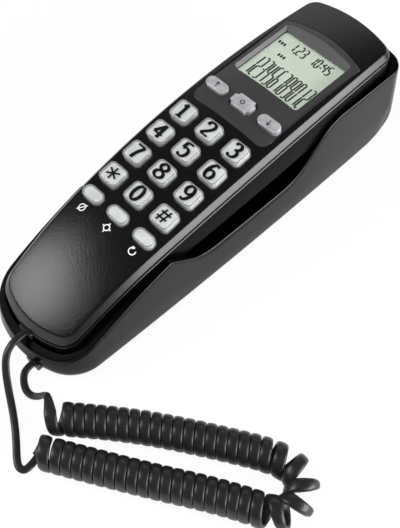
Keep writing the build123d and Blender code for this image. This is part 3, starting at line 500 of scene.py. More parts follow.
# %% Face of the handset
FACE_TILT = math.radians(9.2)
FACE_RADIUS, MIC_FACE_RADIUS, MIC_FACE_START, CROWN_RADIUS = 450.0, 150.0, 28.0, 130.0
KEYPAD = np.array([-14.9, 44.6])
DISPLAY_Y = 62.0
face_up = np.array([-math.sin(FACE_TILT), math.cos(FACE_TILT)])
face_on = np.array([math.cos(FACE_TILT), math.sin(FACE_TILT)])
face_centre = KEYPAD - face_up * FACE_RADIUS
meeting = MIC_FACE_START / FACE_RADIUS
meeting_up = face_up * math.cos(meeting) - face_on * math.sin(meeting)
mic_centre = face_centre + meeting_up * (FACE_RADIUS - MIC_FACE_RADIUS)


def face_height(x, y, depth=0.0):
    """Height of the face at a place in the plan, or of the surface that lies a depth under it."""
    sag = CROWN_RADIUS - np.sqrt(np.maximum(CROWN_RADIUS**2 - np.square(x), 0))
    long_r = FACE_RADIUS - sag - depth
    mic_r = MIC_FACE_RADIUS - sag - depth
    on_long = face_centre[1] + np.sqrt(np.maximum(long_r**2 - (y - face_centre[0]) ** 2, 0))
    on_mic = mic_centre[1] + np.sqrt(np.maximum(mic_r**2 - (y - mic_centre[0]) ** 2, 0))
    return np.where(y < face_centre[0] + long_r * meeting_up[0], on_mic, on_long)


def face_ring(ring, depth):
    """Ring laid onto the face, or onto the surface a depth under it."""
    return lifted(ring, face_height(ring[:, 0], ring[:, 1], depth))


print("face height at the keypad", float(face_height(0.0, KEYPAD[0])))

# %% [markdown]
# Keys and display sit on flat parts inside, not on the curved face. So there are two tilted planes, one for
# the keypad and one for the display. What is drawn on a plane can stay flat on it or drop onto the face.

# %% Planes on the face


def tilted(origin, on, up):
    """Function that places points of a tilted plane: along it by on, over it by up."""
    def place(x, y, z):
        x, y, z = np.broadcast_arrays(np.asarray(x, float), y, z)
        return np.stack([
            x, origin[0] + y * on[0] + z * up[0], origin[1] + y * on[1] + z * up[1]], -1)
    return place


display_turn = math.asin(DISPLAY_Y / FACE_RADIUS)
display_up = face_up * math.cos(display_turn) + face_on * math.sin(display_turn)
display_on = face_on * math.cos(display_turn) - face_up * math.sin(display_turn)
on_keypad = tilted(KEYPAD, face_on, face_up)
on_display = tilted(face_centre + display_up * FACE_RADIUS, display_on, display_up)


def over_face(plane):
    """Function that places points over the face itself, straight under or over those of a plane."""
    def place(x, y, z):
        spot = plane(x, y, 0.0)
        spot[..., 2] = face_height(spot[..., 0], spot[..., 1], -np.asarray(z, float))
        return spot
    return place


on_face, under_display = over_face(on_keypad), over_face(on_display)


def upright(x, y, z):
    """Places in the phone's own frame."""
    return np.stack(np.broadcast_arrays(np.asarray(x, float), y, z), -1)


def prism(ring, low, high, place=upright):
    """Rows of a closed upright block on a ring, between two heights over a plane."""
    return np.stack([place(ring[:, 0], ring[:, 1], low), place(ring[:, 0], ring[:, 1], high)])


print("display plane leans by", round(math.degrees(FACE_TILT - display_turn), 2), "degrees")

# %% [markdown]
# ## Outlines of the keys
# Keys come in three shapes: a rounded square for dialling, a stadium, and a ticket with a bite out of each
# corner under the display. A rounded square and a stadium are one formula with different corner radii.

# %% Key outlines
CORNER_POINTS, THIN = 10, 0.001
QUARTERS = ((1, 1), (-1, 1), (-1, -1), (1, -1))
quarter = np.linspace(0, math.pi / 2, CORNER_POINTS)


def rounded_box(width, length, radius):
    """Rounded rectangle, counter-clockwise: four quarter arcs round the inner corners."""
    radius = min(radius, width / 2 - THIN, length / 2 - THIN)
    ring = []
    for k, (sx, sy) in enumerate(QUARTERS):
        angle = quarter + k * math.pi / 2
        ring.append(np.stack([
            sx * (width / 2 - radius) + radius * np.cos(angle),
            sy * (length / 2 - radius) + radius * np.sin(angle)], 1))
    return np.concatenate(ring)


def ticket(width, length, bite):
    """Rectangle with a quarter-round bite out of each corner."""
    ring = []
    for k, (sx, sy) in enumerate(QUARTERS):
        angle = math.pi + (k + 1) * math.pi / 2 - quarter
        ring.append(np.stack([
            sx * width / 2 + bite * np.cos(angle), sy * length / 2 + bite * np.sin(angle)], 1))
    return np.concatenate(ring)


def disc(x, y, diameter, points=24):
    """Circle in the plan."""
    angle = np.linspace(0, 2 * math.pi, points, endpoint=False)
    return np.stack([x + diameter / 2 * np.cos(angle), y + diameter / 2 * np.sin(angle)], 1)


print("points round a key", len(QUARTERS) * CORNER_POINTS)

# %% [markdown]
# The keys stand in three columns: twelve for dialling, three flat ones under the display and three below the
# dialling keys. Caps, wells and prints all need their sizes and places, so one table holds them.

# %% Places of the keys
COLUMN, ROW, TICKET_BITE, SQUARE_CORNER = 13.5, 12.04, 1.5, 2.0
COLUMNS = (-COLUMN, 0.0, COLUMN)
DIAL_ROWS = (("1", "2", "3"), ("4", "5", "6"), ("7", "8", "9"), ("star", "0", "hash"))
MIDDLE_ROW, DISPLAY_KEYS_Y, LOWER_KEYS_Y = 1.5, 35.7, -28.4
# shape, width, length, height over the face; a key adds its place on the keypad plane
DIAL_KEY, TICKET_KEY = ("square", 9.2, 8.6, 2.4), ("ticket", 10.2, 6.2, 1.6)
DISPLAY_KEY, LOWER_KEY = ("stadium", 10.5, 5.0, 1.6), ("stadium", 9.7, 5.5, 1.8)
KEYS = {}
for row, names in enumerate(DIAL_ROWS):
    for column, name in zip(COLUMNS, names):
        KEYS["key_" + name] = (*DIAL_KEY, column, (MIDDLE_ROW - row) * ROW)
for column, name in zip(COLUMNS, ("left", "middle", "right")):
    KEYS["key_display_" + name] = (
        *(TICKET_KEY if name == "middle" else DISPLAY_KEY), column, DISPLAY_KEYS_Y)
for column, name in zip(COLUMNS, ("mute", "set", "redial")):
    KEYS["key_" + name] = (*LOWER_KEY, column, LOWER_KEYS_Y)


def key_ring(shape, width, length, grow=0.0):
    """Outline of a key, grown by one distance."""
    if shape == "ticket":
        return ticket(width + 2 * grow, length + 2 * grow, TICKET_BITE - grow)
    radius = SQUARE_CORNER if shape == "square" else length / 2
    return rounded_box(width + 2 * grow, length + 2 * grow, radius + grow)


def key_depth(x, y):
    """How far the face lies under the keypad plane at a key."""
    place = on_keypad(x, y, 0.0)
    return float((place[2] - face_height(place[0], place[1])) / face_up[1])


print("keys", len(KEYS))

# %% [markdown]
# ## Front cover
# The cover is one closed skin. Its rows start in the middle of the underside, run out to the edge, up the
# edge, in over the chamfered strip and back to the middle of the face. Bevelling a flat plate and bending it
# would also do, but the strip's width would then change with the bend. The strip is painted by its lean.

# %% Front cover
STRIP_DROP, STRIP_WIDTH, EDGE_DEPTH, EDGE_INSET, FACE_INSET = 2.1, 1.8, 3.4, 1.6, 4.5
UNDER_REACH, FACE_REACH, FACE_STEPS = 21.0, 18.5, 34
EDGE_ROUNDS = [0.25, 0.35, 0.5]  # lower edge, upper edge, and where the strip meets the face
inner_shares = np.linspace(0, 1, FACE_STEPS)
edge_line = rounded(
    [(EDGE_INSET, EDGE_DEPTH), (0.0, EDGE_DEPTH), (0.0, STRIP_DROP), (STRIP_WIDTH, 0.0), (FACE_INSET, 0.0)],
    EDGE_ROUNDS)
face_rows = [
    face_ring(r, EDGE_DEPTH) for r in inwards(handset_plan(-EDGE_INSET), inner_shares[:-1], UNDER_REACH)]
face_rows += [face_ring(handset_plan(-inset), depth) for inset, depth in edge_line]
face_rows += [
    face_ring(r, 0.0) for r in inwards(handset_plan(-FACE_INSET), inner_shares[::-1][1:], FACE_REACH)]
front = add_object(
    "handset_front_cover", skin("handset_front_cover", face_rows), "Black satin ABS", "handset")
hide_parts("handset_front_shell")
STRIP_LEAN = (0.2, 0.8)  # the strip's normals are neither upright nor level
paint(front, "Black polished ABS strip", leaning(*STRIP_LEAN))
paint(front, "Black low-gloss ABS", lambda normals, middles: np.abs(normals[:, 2]) <= STRIP_LEAN[0])

# %% [markdown]
# The cover has a sunk bed for the panel, a well for each key and an opening for the display. They are cut
# last, with blocks that stand on the planes and on the face.

# %% Wells and openings
ARCH_POINTS, ARCH_REACH, ARCH_STEPS = 21, 0.4, 6
# left, right, foot, top at the sides, rise of the arched top, corner
PANEL = (-19.3, 19.3, 26.5, 81.3, 3.2, 4.5)
FRAME = (-16.9, 16.1, -14.9, 16.7, 1.75, 1.8)
SEEN = (-15.7, 15.7, -14.5, 14.5, 0.0, 1.5)
PANEL_DEPTH, PANEL_FIT, WELL_GAP = 1.2, 0.1, 0.35
WELL_CUT, FRAME_CUT, BED_CUT_TOP = (-12.0, 6.0), (-14.0, 8.0), 6.0  # heights that reach through the cover


def grown(box, grow):
    """Outline with straight sides and foot, a top that rises by a parabola, and rounded corners."""
    left, right, low, high, rise, corner = box
    left, right, low, high = left - grow, right + grow, low - grow, high + grow
    share = np.linspace(1, -1, ARCH_POINTS)
    x = (left + right) / 2 + share * (right - left) / 2
    arch = np.stack([x, high + rise * (1 - share**2)], 1)
    foot = ((left + right) / 2, low)
    corners = np.concatenate([[foot, (right, low)], arch, [(left, low), foot]])
    reaches = [corner, corner, *[ARCH_REACH] * (ARCH_POINTS - 2), corner, corner]
    return rounded(corners, reaches, ARCH_STEPS)[:-1]


def well_blocks():
    """Blocks that cut the key wells and the display's opening."""
    blocks = [
        prism(key_ring(*key[:3], WELL_GAP) + np.array(key[4:]), *WELL_CUT, on_keypad)
        for key in KEYS.values()]
    return blocks + [prism(grown(FRAME, 0.0), *FRAME_CUT, on_display)]


bed = prism(grown(PANEL, PANEL_FIT), -PANEL_DEPTH - PANEL_FIT / 2, BED_CUT_TOP, on_face)
cut(front, blocks_mesh("panel_bed", [bed]))
cut(front, blocks_mesh("wells", well_blocks()))

# %% [markdown]
# ## Panel and display
# The grey panel is a thin inlay that follows the face. Through its opening one looks down a sloped frame
# onto the display glass, under a clear pane. The inlay could be a copy of the cover's faces, but as a piece
# of its own it keeps a fine groove round it.

# %% Panel
PANEL_ROUND, PANEL_STEPS = 0.15, 24
panel_shares = np.linspace(0, 1, PANEL_STEPS)
middle = grown(PANEL, 0.0).mean(0)


def panel_row(share, height, grow=0.0):
    """Outline of the panel, shrunk to a share round its middle, at a height over the face."""
    ring = middle + (grown(PANEL, grow) - middle) * share
    return on_face(ring[:, 0], ring[:, 1], height)


rows = [panel_row(share, -PANEL_DEPTH) for share in panel_shares]
rows += [panel_row(1.0, -PANEL_ROUND), panel_row(1.0, 0.0, -PANEL_ROUND)]
rows += [panel_row(share, 0.0, -PANEL_ROUND) for share in panel_shares[::-1][1:]]
panel = add_object(
    "display_panel_inlay", skin("display_panel_inlay", rows), "Grey satin polycarbonate and painted shade", "handset")
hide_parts("display_panel")
cut(panel, blocks_mesh("panel_wells", well_blocks()))

# %% [markdown]
# The frame slopes from the face down to the glass, so its upper ring follows the face and its lower ring the
# display's plane. The pane is a flat block between frame and glass.

# %% Frame and pane
FRAME_FOOT, FRAME_WALL, FRAME_FIT = -2.72, 0.9, 0.05
frame_top, frame_low = grown(FRAME, -FRAME_FIT), grown(SEEN, 0.0)
frame_rows = [
    under_display(frame_top[:, 0], frame_top[:, 1], 0.0),
    on_display(frame_low[:, 0], frame_low[:, 1], FRAME_FOOT),
    on_display(frame_low[:, 0], frame_low[:, 1], FRAME_FOOT - FRAME_FIT),
    under_display(frame_top[:, 0], frame_top[:, 1], -FRAME_WALL)]
bezel = add_object(
    "display_frame", skin("display_frame", frame_rows, closed_rows=True),
    "Light grey polycarbonate", "handset")

PANE_SIZE, PANE_LOW, PANE_HIGH = (31.4, 29.0, 1.4), -3.5, -2.8
pane_block = prism(rounded_box(*PANE_SIZE), PANE_LOW, PANE_HIGH, on_display)
pane = add_object("display_pane", blocks_mesh("display_pane", [pane_block]), window_clear, "handset")
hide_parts("display_window")
print("frame faces", len(bezel.data.polygons), "pane faces", len(pane.data.polygons))

# %% [markdown]
# The display shows dark digits made of seven bars. A digit is a list of the bars that are dark, and each bar
# is a thin six-cornered block on the glass. An image would do too, but blocks stay sharp at any size. Leaning
# the places sideways with their height gives the slant.

# %% Display digits
BARS = {"a": (0, 2, 1, 2), "b": (1, 1, 1, 2), "c": (1, 0, 1, 1), "d": (0, 0, 1, 0), "e": (0, 0, 0, 1),
        "f": (0, 1, 0, 2), "g": (0, 1, 1, 1)}
LIT = {"0": "abcdef", "1": "bc", "2": "abged", "3": "abgcd", "4": "fgbc", "5": "afgcd", "6": "afgedc",
       "7": "abc", "8": "abcdefg", "9": "abcfgd"}
BAR_SHARE, BAR_GAP_SHARE, SLANT = 0.48, 0.03, 0.02
GLASS_TOP, BAR_FILM = -3.6, 0.03
DOTS = {":": (0.3, 0.7), ".": (0.0,)}  # heights of a sign's dots, as shares of a digit's height
DOT_SIZE_SHARE, DOT_POINTS, DOT_PITCH_SHARE = 1.2, 8, 0.4


def bar(start, end, thick):
    """Six corners of a bar: two points at its ends and two pairs beside them."""
    start, end = np.array(start, float), np.array(end, float)
    way = unit(end - start)
    side = np.array([-way[1], way[0]]) * thick / 2
    low, high = start + way * thick / 2, end - way * thick / 2
    return np.stack([start, low - side, high - side, end, high + side, low + side])


def display_text(text, x, y, width, height, pitch):
    """Bars of a row of digits that starts at a place of the display; a colon or point is one or two dots."""
    blocks = []
    thick = width * BAR_SHARE
    for sign in text:
        rings = []
        for name in LIT.get(sign, ""):
            x0, y0, x1, y1 = BARS[name]
            start = np.array([x0 * width, y0 * height / 2])
            end = np.array([x1 * width, y1 * height / 2])
            inset = unit(end - start) * width * BAR_GAP_SHARE
            rings.append(bar(start + inset, end - inset, thick))
        for share in DOTS.get(sign, ()):
            rings.append(disc(thick / 2, share * height, thick * DOT_SIZE_SHARE, DOT_POINTS))
        for ring in rings:
            ring = ring + np.array([x, y])
            ring[:, 0] += (ring[:, 1] - y) * SLANT
            blocks.append(prism(ring, GLASS_TOP, GLASS_TOP + BAR_FILM, on_display))
        x += pitch * DOT_PITCH_SHARE if sign in DOTS else pitch
    return blocks


# text, place of its first digit's lower left corner, width, height and pitch of its digits
SHOWN_LINES = (("123456789012", -14.1, -11.9, 1.45, 11.2, 2.42), ("1.23 10:45", -8.8, 8.2, 1.40, 4.8, 2.35))
SMALL_SIGN = (0.9, 1.5, 0.2)
SMALL_SIGN_PLACES = ((-14.2, 9.0), (-12.9, 9.0), (-11.6, 9.0), (-9.6, 3.6), (-8.3, 3.6), (-7.0, 3.6))
shown = [block for line in SHOWN_LINES for block in display_text(*line)]
shown += [
    prism(rounded_box(*SMALL_SIGN) + np.array(place), GLASS_TOP, GLASS_TOP + BAR_FILM, on_display)
    for place in SMALL_SIGN_PLACES]
add_object("display_digits", blocks_mesh("display_digits", shown), "Black pad print", "handset")
print("display bars", len(shown))

# %% [markdown]
# ## Keys
# A key for dialling is moulded twice: a silver core, and a clear skin over it that takes the print. Both are
# rings of one outline: straight up, round the top edge and in to the middle, where the top is a little
# crowned. A box with a bevel would also do for the square keys, but not for the ticket. The core's rounded
# edge is painted grey as painted shade, for the dark line that bent light makes there. The flat keys under
# the display are silver all through.

# %% Key caps
KEY_EDGE, KEY_CROWN, KEY_EDGE_STEPS, KEY_SHARP = 0.7, 0.08, 7, 50.0
FLANGE_TOP, FLANGE_WIDTH, FLANGE_THICK = -5.5, 0.6, 1.2
CLEAR_SKIN = 0.5
CAP_FOOT = [(FLANGE_WIDTH, FLANGE_TOP - FLANGE_THICK), (FLANGE_WIDTH, FLANGE_TOP), (0.0, FLANGE_TOP)]
CORE_FOOT = [(-CLEAR_SKIN, FLANGE_TOP - FLANGE_THICK / 2)]
# the core's rounded edge, which leans between these, is painted grey: painted shade of the skin's bent edge
CORE_SHADE_RIM = (0.2, 0.8)  # the core's rounded edge leans between these
top_shares = (0.8, 0.55, 0.3, THIN)


def key_block(name, key, foot_steps, skin_depth=0.0):
    """Cap or core of a key: the outline shrinks by the edge's arc while the height rises with it."""
    shape, width, length, proud, x, y = key
    top = proud - key_depth(x, y) - skin_depth
    bend = np.linspace(0, math.pi / 2, KEY_EDGE_STEPS)
    steps = foot_steps + [
        (-skin_depth - KEY_EDGE * (1 - math.cos(b)), top - KEY_EDGE + KEY_EDGE * math.sin(b)) for b in bend]
    rings = [lifted(key_ring(shape, width, length, grow), height) for grow, height in steps]
    foot = lifted(rings[0][:, :2] * THIN, steps[0][1])
    last = rings[-1][:, :2]
    crown = [lifted(last * share, top + KEY_CROWN * (1 - share**2)) for share in top_shares]
    rows = np.stack([foot, *rings, *crown])
    return skin(name, on_keypad(rows[..., 0] + x, rows[..., 1] + y, rows[..., 2]), KEY_SHARP)


for node, key in KEYS.items():
    clear_cap = not node.startswith("key_display")
    cap = add_object(
        "cap_" + node, key_block(node, key, CAP_FOOT), key_clear if clear_cap else "Silver key plastic", node)
    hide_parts(node)
    if clear_cap:
        core = add_object(
            "core_" + node, key_block(node, key, CORE_FOOT, CLEAR_SKIN), "Silver-white key core", node)
        # painted shade: the core's rounded edge turns grey for the dark line that bent light makes there
        paint(core, "Grey satin polycarbonate and painted shade", leaning(*CORE_SHADE_RIM))

# %% [markdown]
# ## Prints
# Digits and signs are pad printed. Each is a few pen strokes through some points, in a box 1 wide and 1.4
# tall. A font would bring its own style along, and these are drawn after the shapes on such keys.

# %% Signs
TALL, STAR_REACH = 1.4, 0.60
NINE = [(0.20, 0.10), (0.50, 0.02), (0.78, 0.35), (0.88, 0.90), (0.74, 1.30), (0.50, 1.40), (0.24, 1.30),
        (0.12, 0.98), (0.26, 0.68), (0.50, 0.60), (0.76, 0.74), (0.87, 0.95)]
turned = np.linspace(0, 2 * math.pi, 13)


def round_line(wide, high, angles=turned):
    """Points of an ellipse round a sign's middle, clockwise from the top, by its two half axes."""
    return np.stack([0.5 + wide * np.sin(angles), TALL / 2 + high * np.cos(angles)], 1)


GLYPHS = {
    "1": [[(0.24, 1.08), (0.52, 1.36)], [(0.52, 1.40), (0.52, 0.04)], [(0.22, 0.04), (0.82, 0.04)]],
    "2": [[(0.12, 1.02), (0.22, 1.30), (0.50, 1.40), (0.80, 1.28), (0.86, 1.00), (0.66, 0.64), (0.34, 0.32),
           (0.14, 0.06)], [(0.12, 0.06), (0.90, 0.06)]],
    "3": [[(0.14, 1.20), (0.36, 1.38), (0.66, 1.36), (0.83, 1.10), (0.70, 0.84), (0.42, 0.75)],
          [(0.42, 0.75), (0.75, 0.67), (0.88, 0.40), (0.72, 0.09), (0.40, 0.00), (0.10, 0.17)]],
    "4": [[(0.68, 0.00), (0.68, 1.40)], [(0.68, 1.36), (0.08, 0.42)], [(0.06, 0.42), (0.96, 0.42)]],
    "5": [[(0.84, 1.36), (0.26, 1.36)], [(0.26, 1.38), (0.20, 0.78)],
          [(0.20, 0.76), (0.50, 0.90), (0.80, 0.76), (0.88, 0.44), (0.72, 0.10), (0.40, 0.00), (0.10, 0.15)]],
    "6": [[(1 - x, TALL - y) for x, y in NINE]],
    "7": [[(0.10, 1.34), (0.92, 1.34)], [(0.90, 1.34), (0.58, 0.70), (0.42, 0.00)]],
    "8": [[(0.50, 0.74), (0.20, 0.92), (0.17, 1.20), (0.50, 1.40), (0.83, 1.20), (0.80, 0.92), (0.50, 0.74)],
          [(0.50, 0.74), (0.16, 0.54), (0.11, 0.22), (0.50, 0.00), (0.89, 0.22), (0.84, 0.54), (0.50, 0.74)]],
    "9": [NINE],
    "0": [round_line(0.38, 0.7)],
    "star": [
        [(0.5 - STAR_REACH * c, TALL / 2 - STAR_REACH * s), (0.5 + STAR_REACH * c, TALL / 2 + STAR_REACH * s)]
        for c, s in ((0, 1), (0.87, 0.5), (0.87, -0.5))],
    "hash": [[(0.18, 0.10), (0.36, 1.30)], [(0.64, 0.10), (0.82, 1.30)], [(-0.04, 0.46), (0.98, 0.46)],
             [(0.02, 0.94), (1.04, 0.94)]],
    "left": [[(0.50, 0.20), (0.50, 1.20)], [(0.20, 0.86), (0.50, 1.20), (0.80, 0.86)]],
    "middle": [round_line(0.36, 0.36)],
    "right": [[(0.50, 0.20), (0.50, 1.20)], [(0.20, 0.54), (0.50, 0.20), (0.80, 0.54)]],
    "mute": [round_line(0.5, 0.5), [(0.0, 0.1), (1.0, 1.3)]],
    "set": [round_line(0.42, 0.42), [(0.5, 1.1), (0.5, 1.45)], [(0.5, 0.3), (0.5, -0.05)],
            [(0.9, 0.7), (1.25, 0.7)], [(0.1, 0.7), (-0.25, 0.7)]],
    "redial": [round_line(0.5, 0.5, turned[2:]), [(0.1, 1.2), (0.5, 1.2)], [(0.5, 1.2), (0.2, 0.9)]],
}
print("signs", len(GLYPHS))

# %% [markdown]
# A stroke is a smooth line drawn with a broad nib, which makes upright strokes thick and level ones thin. It
# becomes a thin film of that width, as ink is, and not a picture, so that it stays sharp and rides its key.

# %% Strokes
FILM, FILM_STEP = 0.04, 0.004  # a film's height, and how much higher each further stroke of a sign is


def smooth(points, steps=7):
    """Smooth line through points: a cubic between each pair whose slopes come from the neighbours."""
    points = np.asarray(points, float)
    slopes = np.gradient(points, axis=0)
    t = np.linspace(0, 1, steps, endpoint=False)[None, :, None]
    a, b, u, v = points[:-1, None], points[1:, None], slopes[:-1, None], slopes[1:, None]
    line = ((2 * t**3 - 3 * t**2 + 1) * a + (t**3 - 2 * t**2 + t) * u
            + (3 * t**2 - 2 * t**3) * b + (t**3 - t**2) * v)
    return np.concatenate([line.reshape(-1, 2), points[-1:]])


def stroke(points, size, x, y, low, high, place, thick, thin):
    """Rows of a film along a line: as wide as a nib that is broad across upright ways."""
    line = smooth(points) * size
    ways = unit(np.gradient(line, axis=0))
    half = (thin + (thick - thin) * np.abs(ways[:, 1:])) / 2
    side = np.stack([-ways[:, 1], ways[:, 0]], 1) * half
    left, right = line + side + (x, y), line - side + (x, y)
    return np.stack([
        place(edge[:, 0], edge[:, 1], height)
        for edge, height in ((left, low), (right, low), (right, high), (left, high))], 1)


def signs(glyph, size, x, y, low, place, thick, thin):
    """All strokes of one sign, centred on a place; each film lies a hair higher than the one before."""
    corner = (x - size / 2, y - size * TALL / 2)
    return [
        stroke(points, size, *corner, low, low + FILM + k * FILM_STEP, place, thick, thin)
        for k, points in enumerate(GLYPHS[glyph])]


print("points along a nine", len(smooth(NINE)))

# %% [markdown]
# Digits are bold and black on the clear skins, the signs on the display's keys are fine, and the icons lie in
# white on the cover under the lower keys. One mesh could hold all prints, but a print rides its own key and
# goes down with it, so each key has its own.

# %% Prints on keys and cover
DIGIT_SIZE, DIGIT_THICK, DIGIT_THIN = 4.5, 1.5, 0.75
SIGN_SIZE, SIGN_THICK, SIGN_THIN = 2.2, 0.42, 0.34
ICON_SIZE, ICON_DROP, ICON_LINE = 2.7, 5.7, 0.42
THIN_SIGNS, PRINT_SHARP = {"star": 0.5, "hash": 0.5}, 60.0
icons = []
for node, (shape, width, length, proud, x, y) in KEYS.items():
    glyph = node.split("_")[-1]
    top = proud - key_depth(x, y) + KEY_CROWN / 2
    if shape == "square":
        share = THIN_SIGNS.get(glyph, 1.0)
        strokes = signs(glyph, DIGIT_SIZE, x, y, top, on_keypad, DIGIT_THICK * share, DIGIT_THIN)
    elif node.startswith("key_display"):
        strokes = signs(glyph, SIGN_SIZE, x, y, top, on_keypad, SIGN_THICK, SIGN_THIN)
    else:
        icons += signs(glyph, ICON_SIZE, x, y - ICON_DROP, 0.0, on_face, ICON_LINE, ICON_LINE)
        continue
    add_object("print_" + node, blocks_mesh("print_" + node, strokes, PRINT_SHARP), "Black pad print", node)
add_object("print_icons", blocks_mesh("print_icons", icons, PRINT_SHARP), "White pad print", "handset")
print("icons", len(icons), "strokes")

# %% [markdown]
# ## Rear cover
# The rear cover is a deep tray: mouthpiece, hollow grip and earpiece follow one line along its bottom. Rows
# run from the middle of the inside, over the seam edge, down the wall, round the bottom edge and to the
# middle of the outside. A solid with a Solidify wall is quicker, but the seam's bevel needs rows of its own.

# %% Rear cover
REAR_WALL, REAR_EDGE, REAR_REACH = 2.0, 5.0, 17.0
SEAM_GAP, SEAM_ROUND = 0.12, 0.4
MIC_UNDER, HEAD_UNDER = 6.5, 23.0
GRIP_STEPS, REAR_EDGE_STEPS, REAR_STEPS = 8, 8, 14
# the underside seen from the side: places along the phone with their heights, and how each corner is rounded
GRIP_CORNERS = [
    (-100, MIC_UNDER), (-63.9, MIC_UNDER), (-47.9, 19.5), (-23, 23.3), (0, 25.5), (20, 26.8), (40.8, 27.5),
    (46.8, HEAD_UNDER), (100, HEAD_UNDER)]
GRIP_ROUNDS = [2.5, 2.5, 12, 11, 10, 2.0, 2.0]
grip = rounded(GRIP_CORNERS, GRIP_ROUNDS, GRIP_STEPS)


def rear_ring(ring, inset, wall):
    """Ring of the rear cover's outside or inside: its bottom line, raised round the edge by an arc."""
    edge = REAR_EDGE - wall
    rise = edge - np.sqrt(np.maximum(edge**2 - np.maximum(edge - inset, 0) ** 2, 0))
    return lifted(ring, along(grip, ring) + wall + rise)


def rear_rows(wall, shares):
    """Rows of the outside or inside: round the bottom edge by an arc, then in to the middle."""
    edge = REAR_EDGE - wall
    insets = edge * (1 - np.cos(np.linspace(0, math.pi / 2, REAR_EDGE_STEPS)))
    rows = [rear_ring(handset_plan(-wall - inset), inset, wall) for inset in insets]
    middle_rings = inwards(handset_plan(-wall - edge), shares, REAR_REACH)
    return rows + [rear_ring(ring, edge, wall) for ring in middle_rings]


shares = np.linspace(1, 0, REAR_STEPS)[1:]
seam = EDGE_DEPTH + SEAM_GAP
rows = rear_rows(REAR_WALL, shares)[::-1]
rows += [face_ring(handset_plan(-REAR_WALL), seam), face_ring(handset_plan(-SEAM_ROUND), seam),
         face_ring(handset_plan(0.0), seam + SEAM_ROUND)]
rows += rear_rows(0.0, shares)
rear = add_object("handset_rear_cover", skin("handset_rear_cover", rows), "Black low-gloss ABS", "handset")
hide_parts("handset_rear_shell")
SEAM_LEAN, SEAM_REACH = 0.3, 0.6  # the seam's bevel looks up this much and lies this near the seam
paint(rear, "Black polished ABS strip", lambda normals, middles: (
    (normals[:, 2] > SEAM_LEAN)
    & (np.abs(middles[:, 2] - face_height(middles[:, 0], middles[:, 1], seam)) < SEAM_REACH)))

# %% [markdown]
# Sound holes, screw holes and the seat of the cord's sleeve go through the rear cover. Each is a block that
# reaches a little past the wall on both sides, so that the cut is clean.

# %% Holes of the rear cover
RECEIVER_Y, MICROPHONE_Y, SOUND_HOLE, SOUND_RING, SOUND_HOLES = 61.8, -79.8, 2.0, 6.0, 6
SCREW_PLACES = ((-70.8, MIC_UNDER), (78.8, HEAD_UNDER))
SCREW_HOLE, OVERRUN = 5.7, 1.0
SLEEVE_WIDTH, SLEEVE_HEIGHT, SLEEVE_CORNER, SLEEVE_FIT = 7.0, 3.4, 1.1, 0.15
HANDSET_SLEEVE_Z, HANDSET_SEAT = 13.8, (-93.0, -85.5)


def lying(x, y, z):
    """Places for a block that lies along Y: its plane is X and Z, its height is Y."""
    return upright(x, z, y)


def sleeve_seat(x, z, start, end):
    """Block for the seat of a cord sleeve, between two places along the phone."""
    ring = rounded_box(SLEEVE_WIDTH + 2 * SLEEVE_FIT, SLEEVE_HEIGHT + 2 * SLEEVE_FIT, SLEEVE_CORNER)
    return prism(ring + np.array([x, z]), start, end, lying)


def floor_hole(x, y, diameter, under):
    """Block that drills through the wall over a flat part of the underside."""
    return prism(disc(x, y, diameter), under - OVERRUN, under + REAR_WALL + OVERRUN)


holes = [floor_hole(0.0, MICROPHONE_Y, SOUND_HOLE, MIC_UNDER)]
for angle in np.arange(SOUND_HOLES) * 2 * math.pi / SOUND_HOLES:
    x, y = SOUND_RING * math.cos(angle), RECEIVER_Y + SOUND_RING * math.sin(angle)
    holes.append(floor_hole(x, y, SOUND_HOLE, HEAD_UNDER))
holes += [floor_hole(0.0, y, SCREW_HOLE, under) for y, under in SCREW_PLACES]
cut(rear, blocks_mesh("rear_holes", holes))
cut(rear, blocks_mesh("handset_sleeve_seat", [sleeve_seat(0.0, HANDSET_SLEEVE_Z, *HANDSET_SEAT)]))

# %% [markdown]
# ## Base
# The base is a thin shell like a boat. Seen from the side it is a few lines: the rim, whose height changes
# along the phone, with a scoop on each side for the fingers, the cradle's floor, and the underside, which is
# rounded up at the head end like a heel.

# %% Lines of the base
BASE_WALL, HEEL, HEEL_POWER = 2.2, 31.0, 1.75
RIM_MIC, RIM_STEPS = ((-94.0, 9.0), (-67.0, 22.6), (-40.0, 32.2)), 24
RIM_CORNERS = [(-40, 32.2), (-25, 20.5), (26, 20.5), (45, 38.8), (94, 37)]
RIM_CORNER_ROUNDS, RIM_CORNER_STEPS = [6.5, 8, 8, 7.5], 10
FLOOR_MIC, FLOOR_GRIP, FLOOR_HEAD = 6.2, 17.5, 22.7
FLOOR_CORNERS = [
    (-100, FLOOR_MIC), (-63.9, FLOOR_MIC), (-46.4, FLOOR_GRIP), (39.3, FLOOR_GRIP), (45.3, FLOOR_HEAD),
    (100, FLOOR_HEAD)]
FLOOR_ROUNDS, FLOOR_STEPS = [2, 2, 2, 2], 6


def through(a, b, c, count):
    """Points on the circle through three places."""
    ax, ay, bx, by, cx, cy = *a, *b, *c
    d = 2 * (ax * (by - cy) + bx * (cy - ay) + cx * (ay - by))
    ux = ((ax**2 + ay**2) * (by - cy) + (bx**2 + by**2) * (cy - ay) + (cx**2 + cy**2) * (ay - by)) / d
    uy = ((ax**2 + ay**2) * (cx - bx) + (bx**2 + by**2) * (ax - cx) + (cx**2 + cy**2) * (bx - ax)) / d
    r = math.hypot(ax - ux, ay - uy)
    t = np.linspace(math.atan2(ay - uy, ax - ux), math.atan2(cy - uy, cx - ux), count)
    return np.stack([ux + r * np.cos(t), uy + r * np.sin(t)], 1)


rim_mic = through(*RIM_MIC, RIM_STEPS)
rim_rest = rounded([rim_mic[-2], *RIM_CORNERS], RIM_CORNER_ROUNDS, RIM_CORNER_STEPS)
rim_line = np.concatenate([rim_mic[:-2], rim_rest])
floor_line = rounded(FLOOR_CORNERS, FLOOR_ROUNDS, FLOOR_STEPS)
ceiling_line = floor_line - np.array([0.0, BASE_WALL])


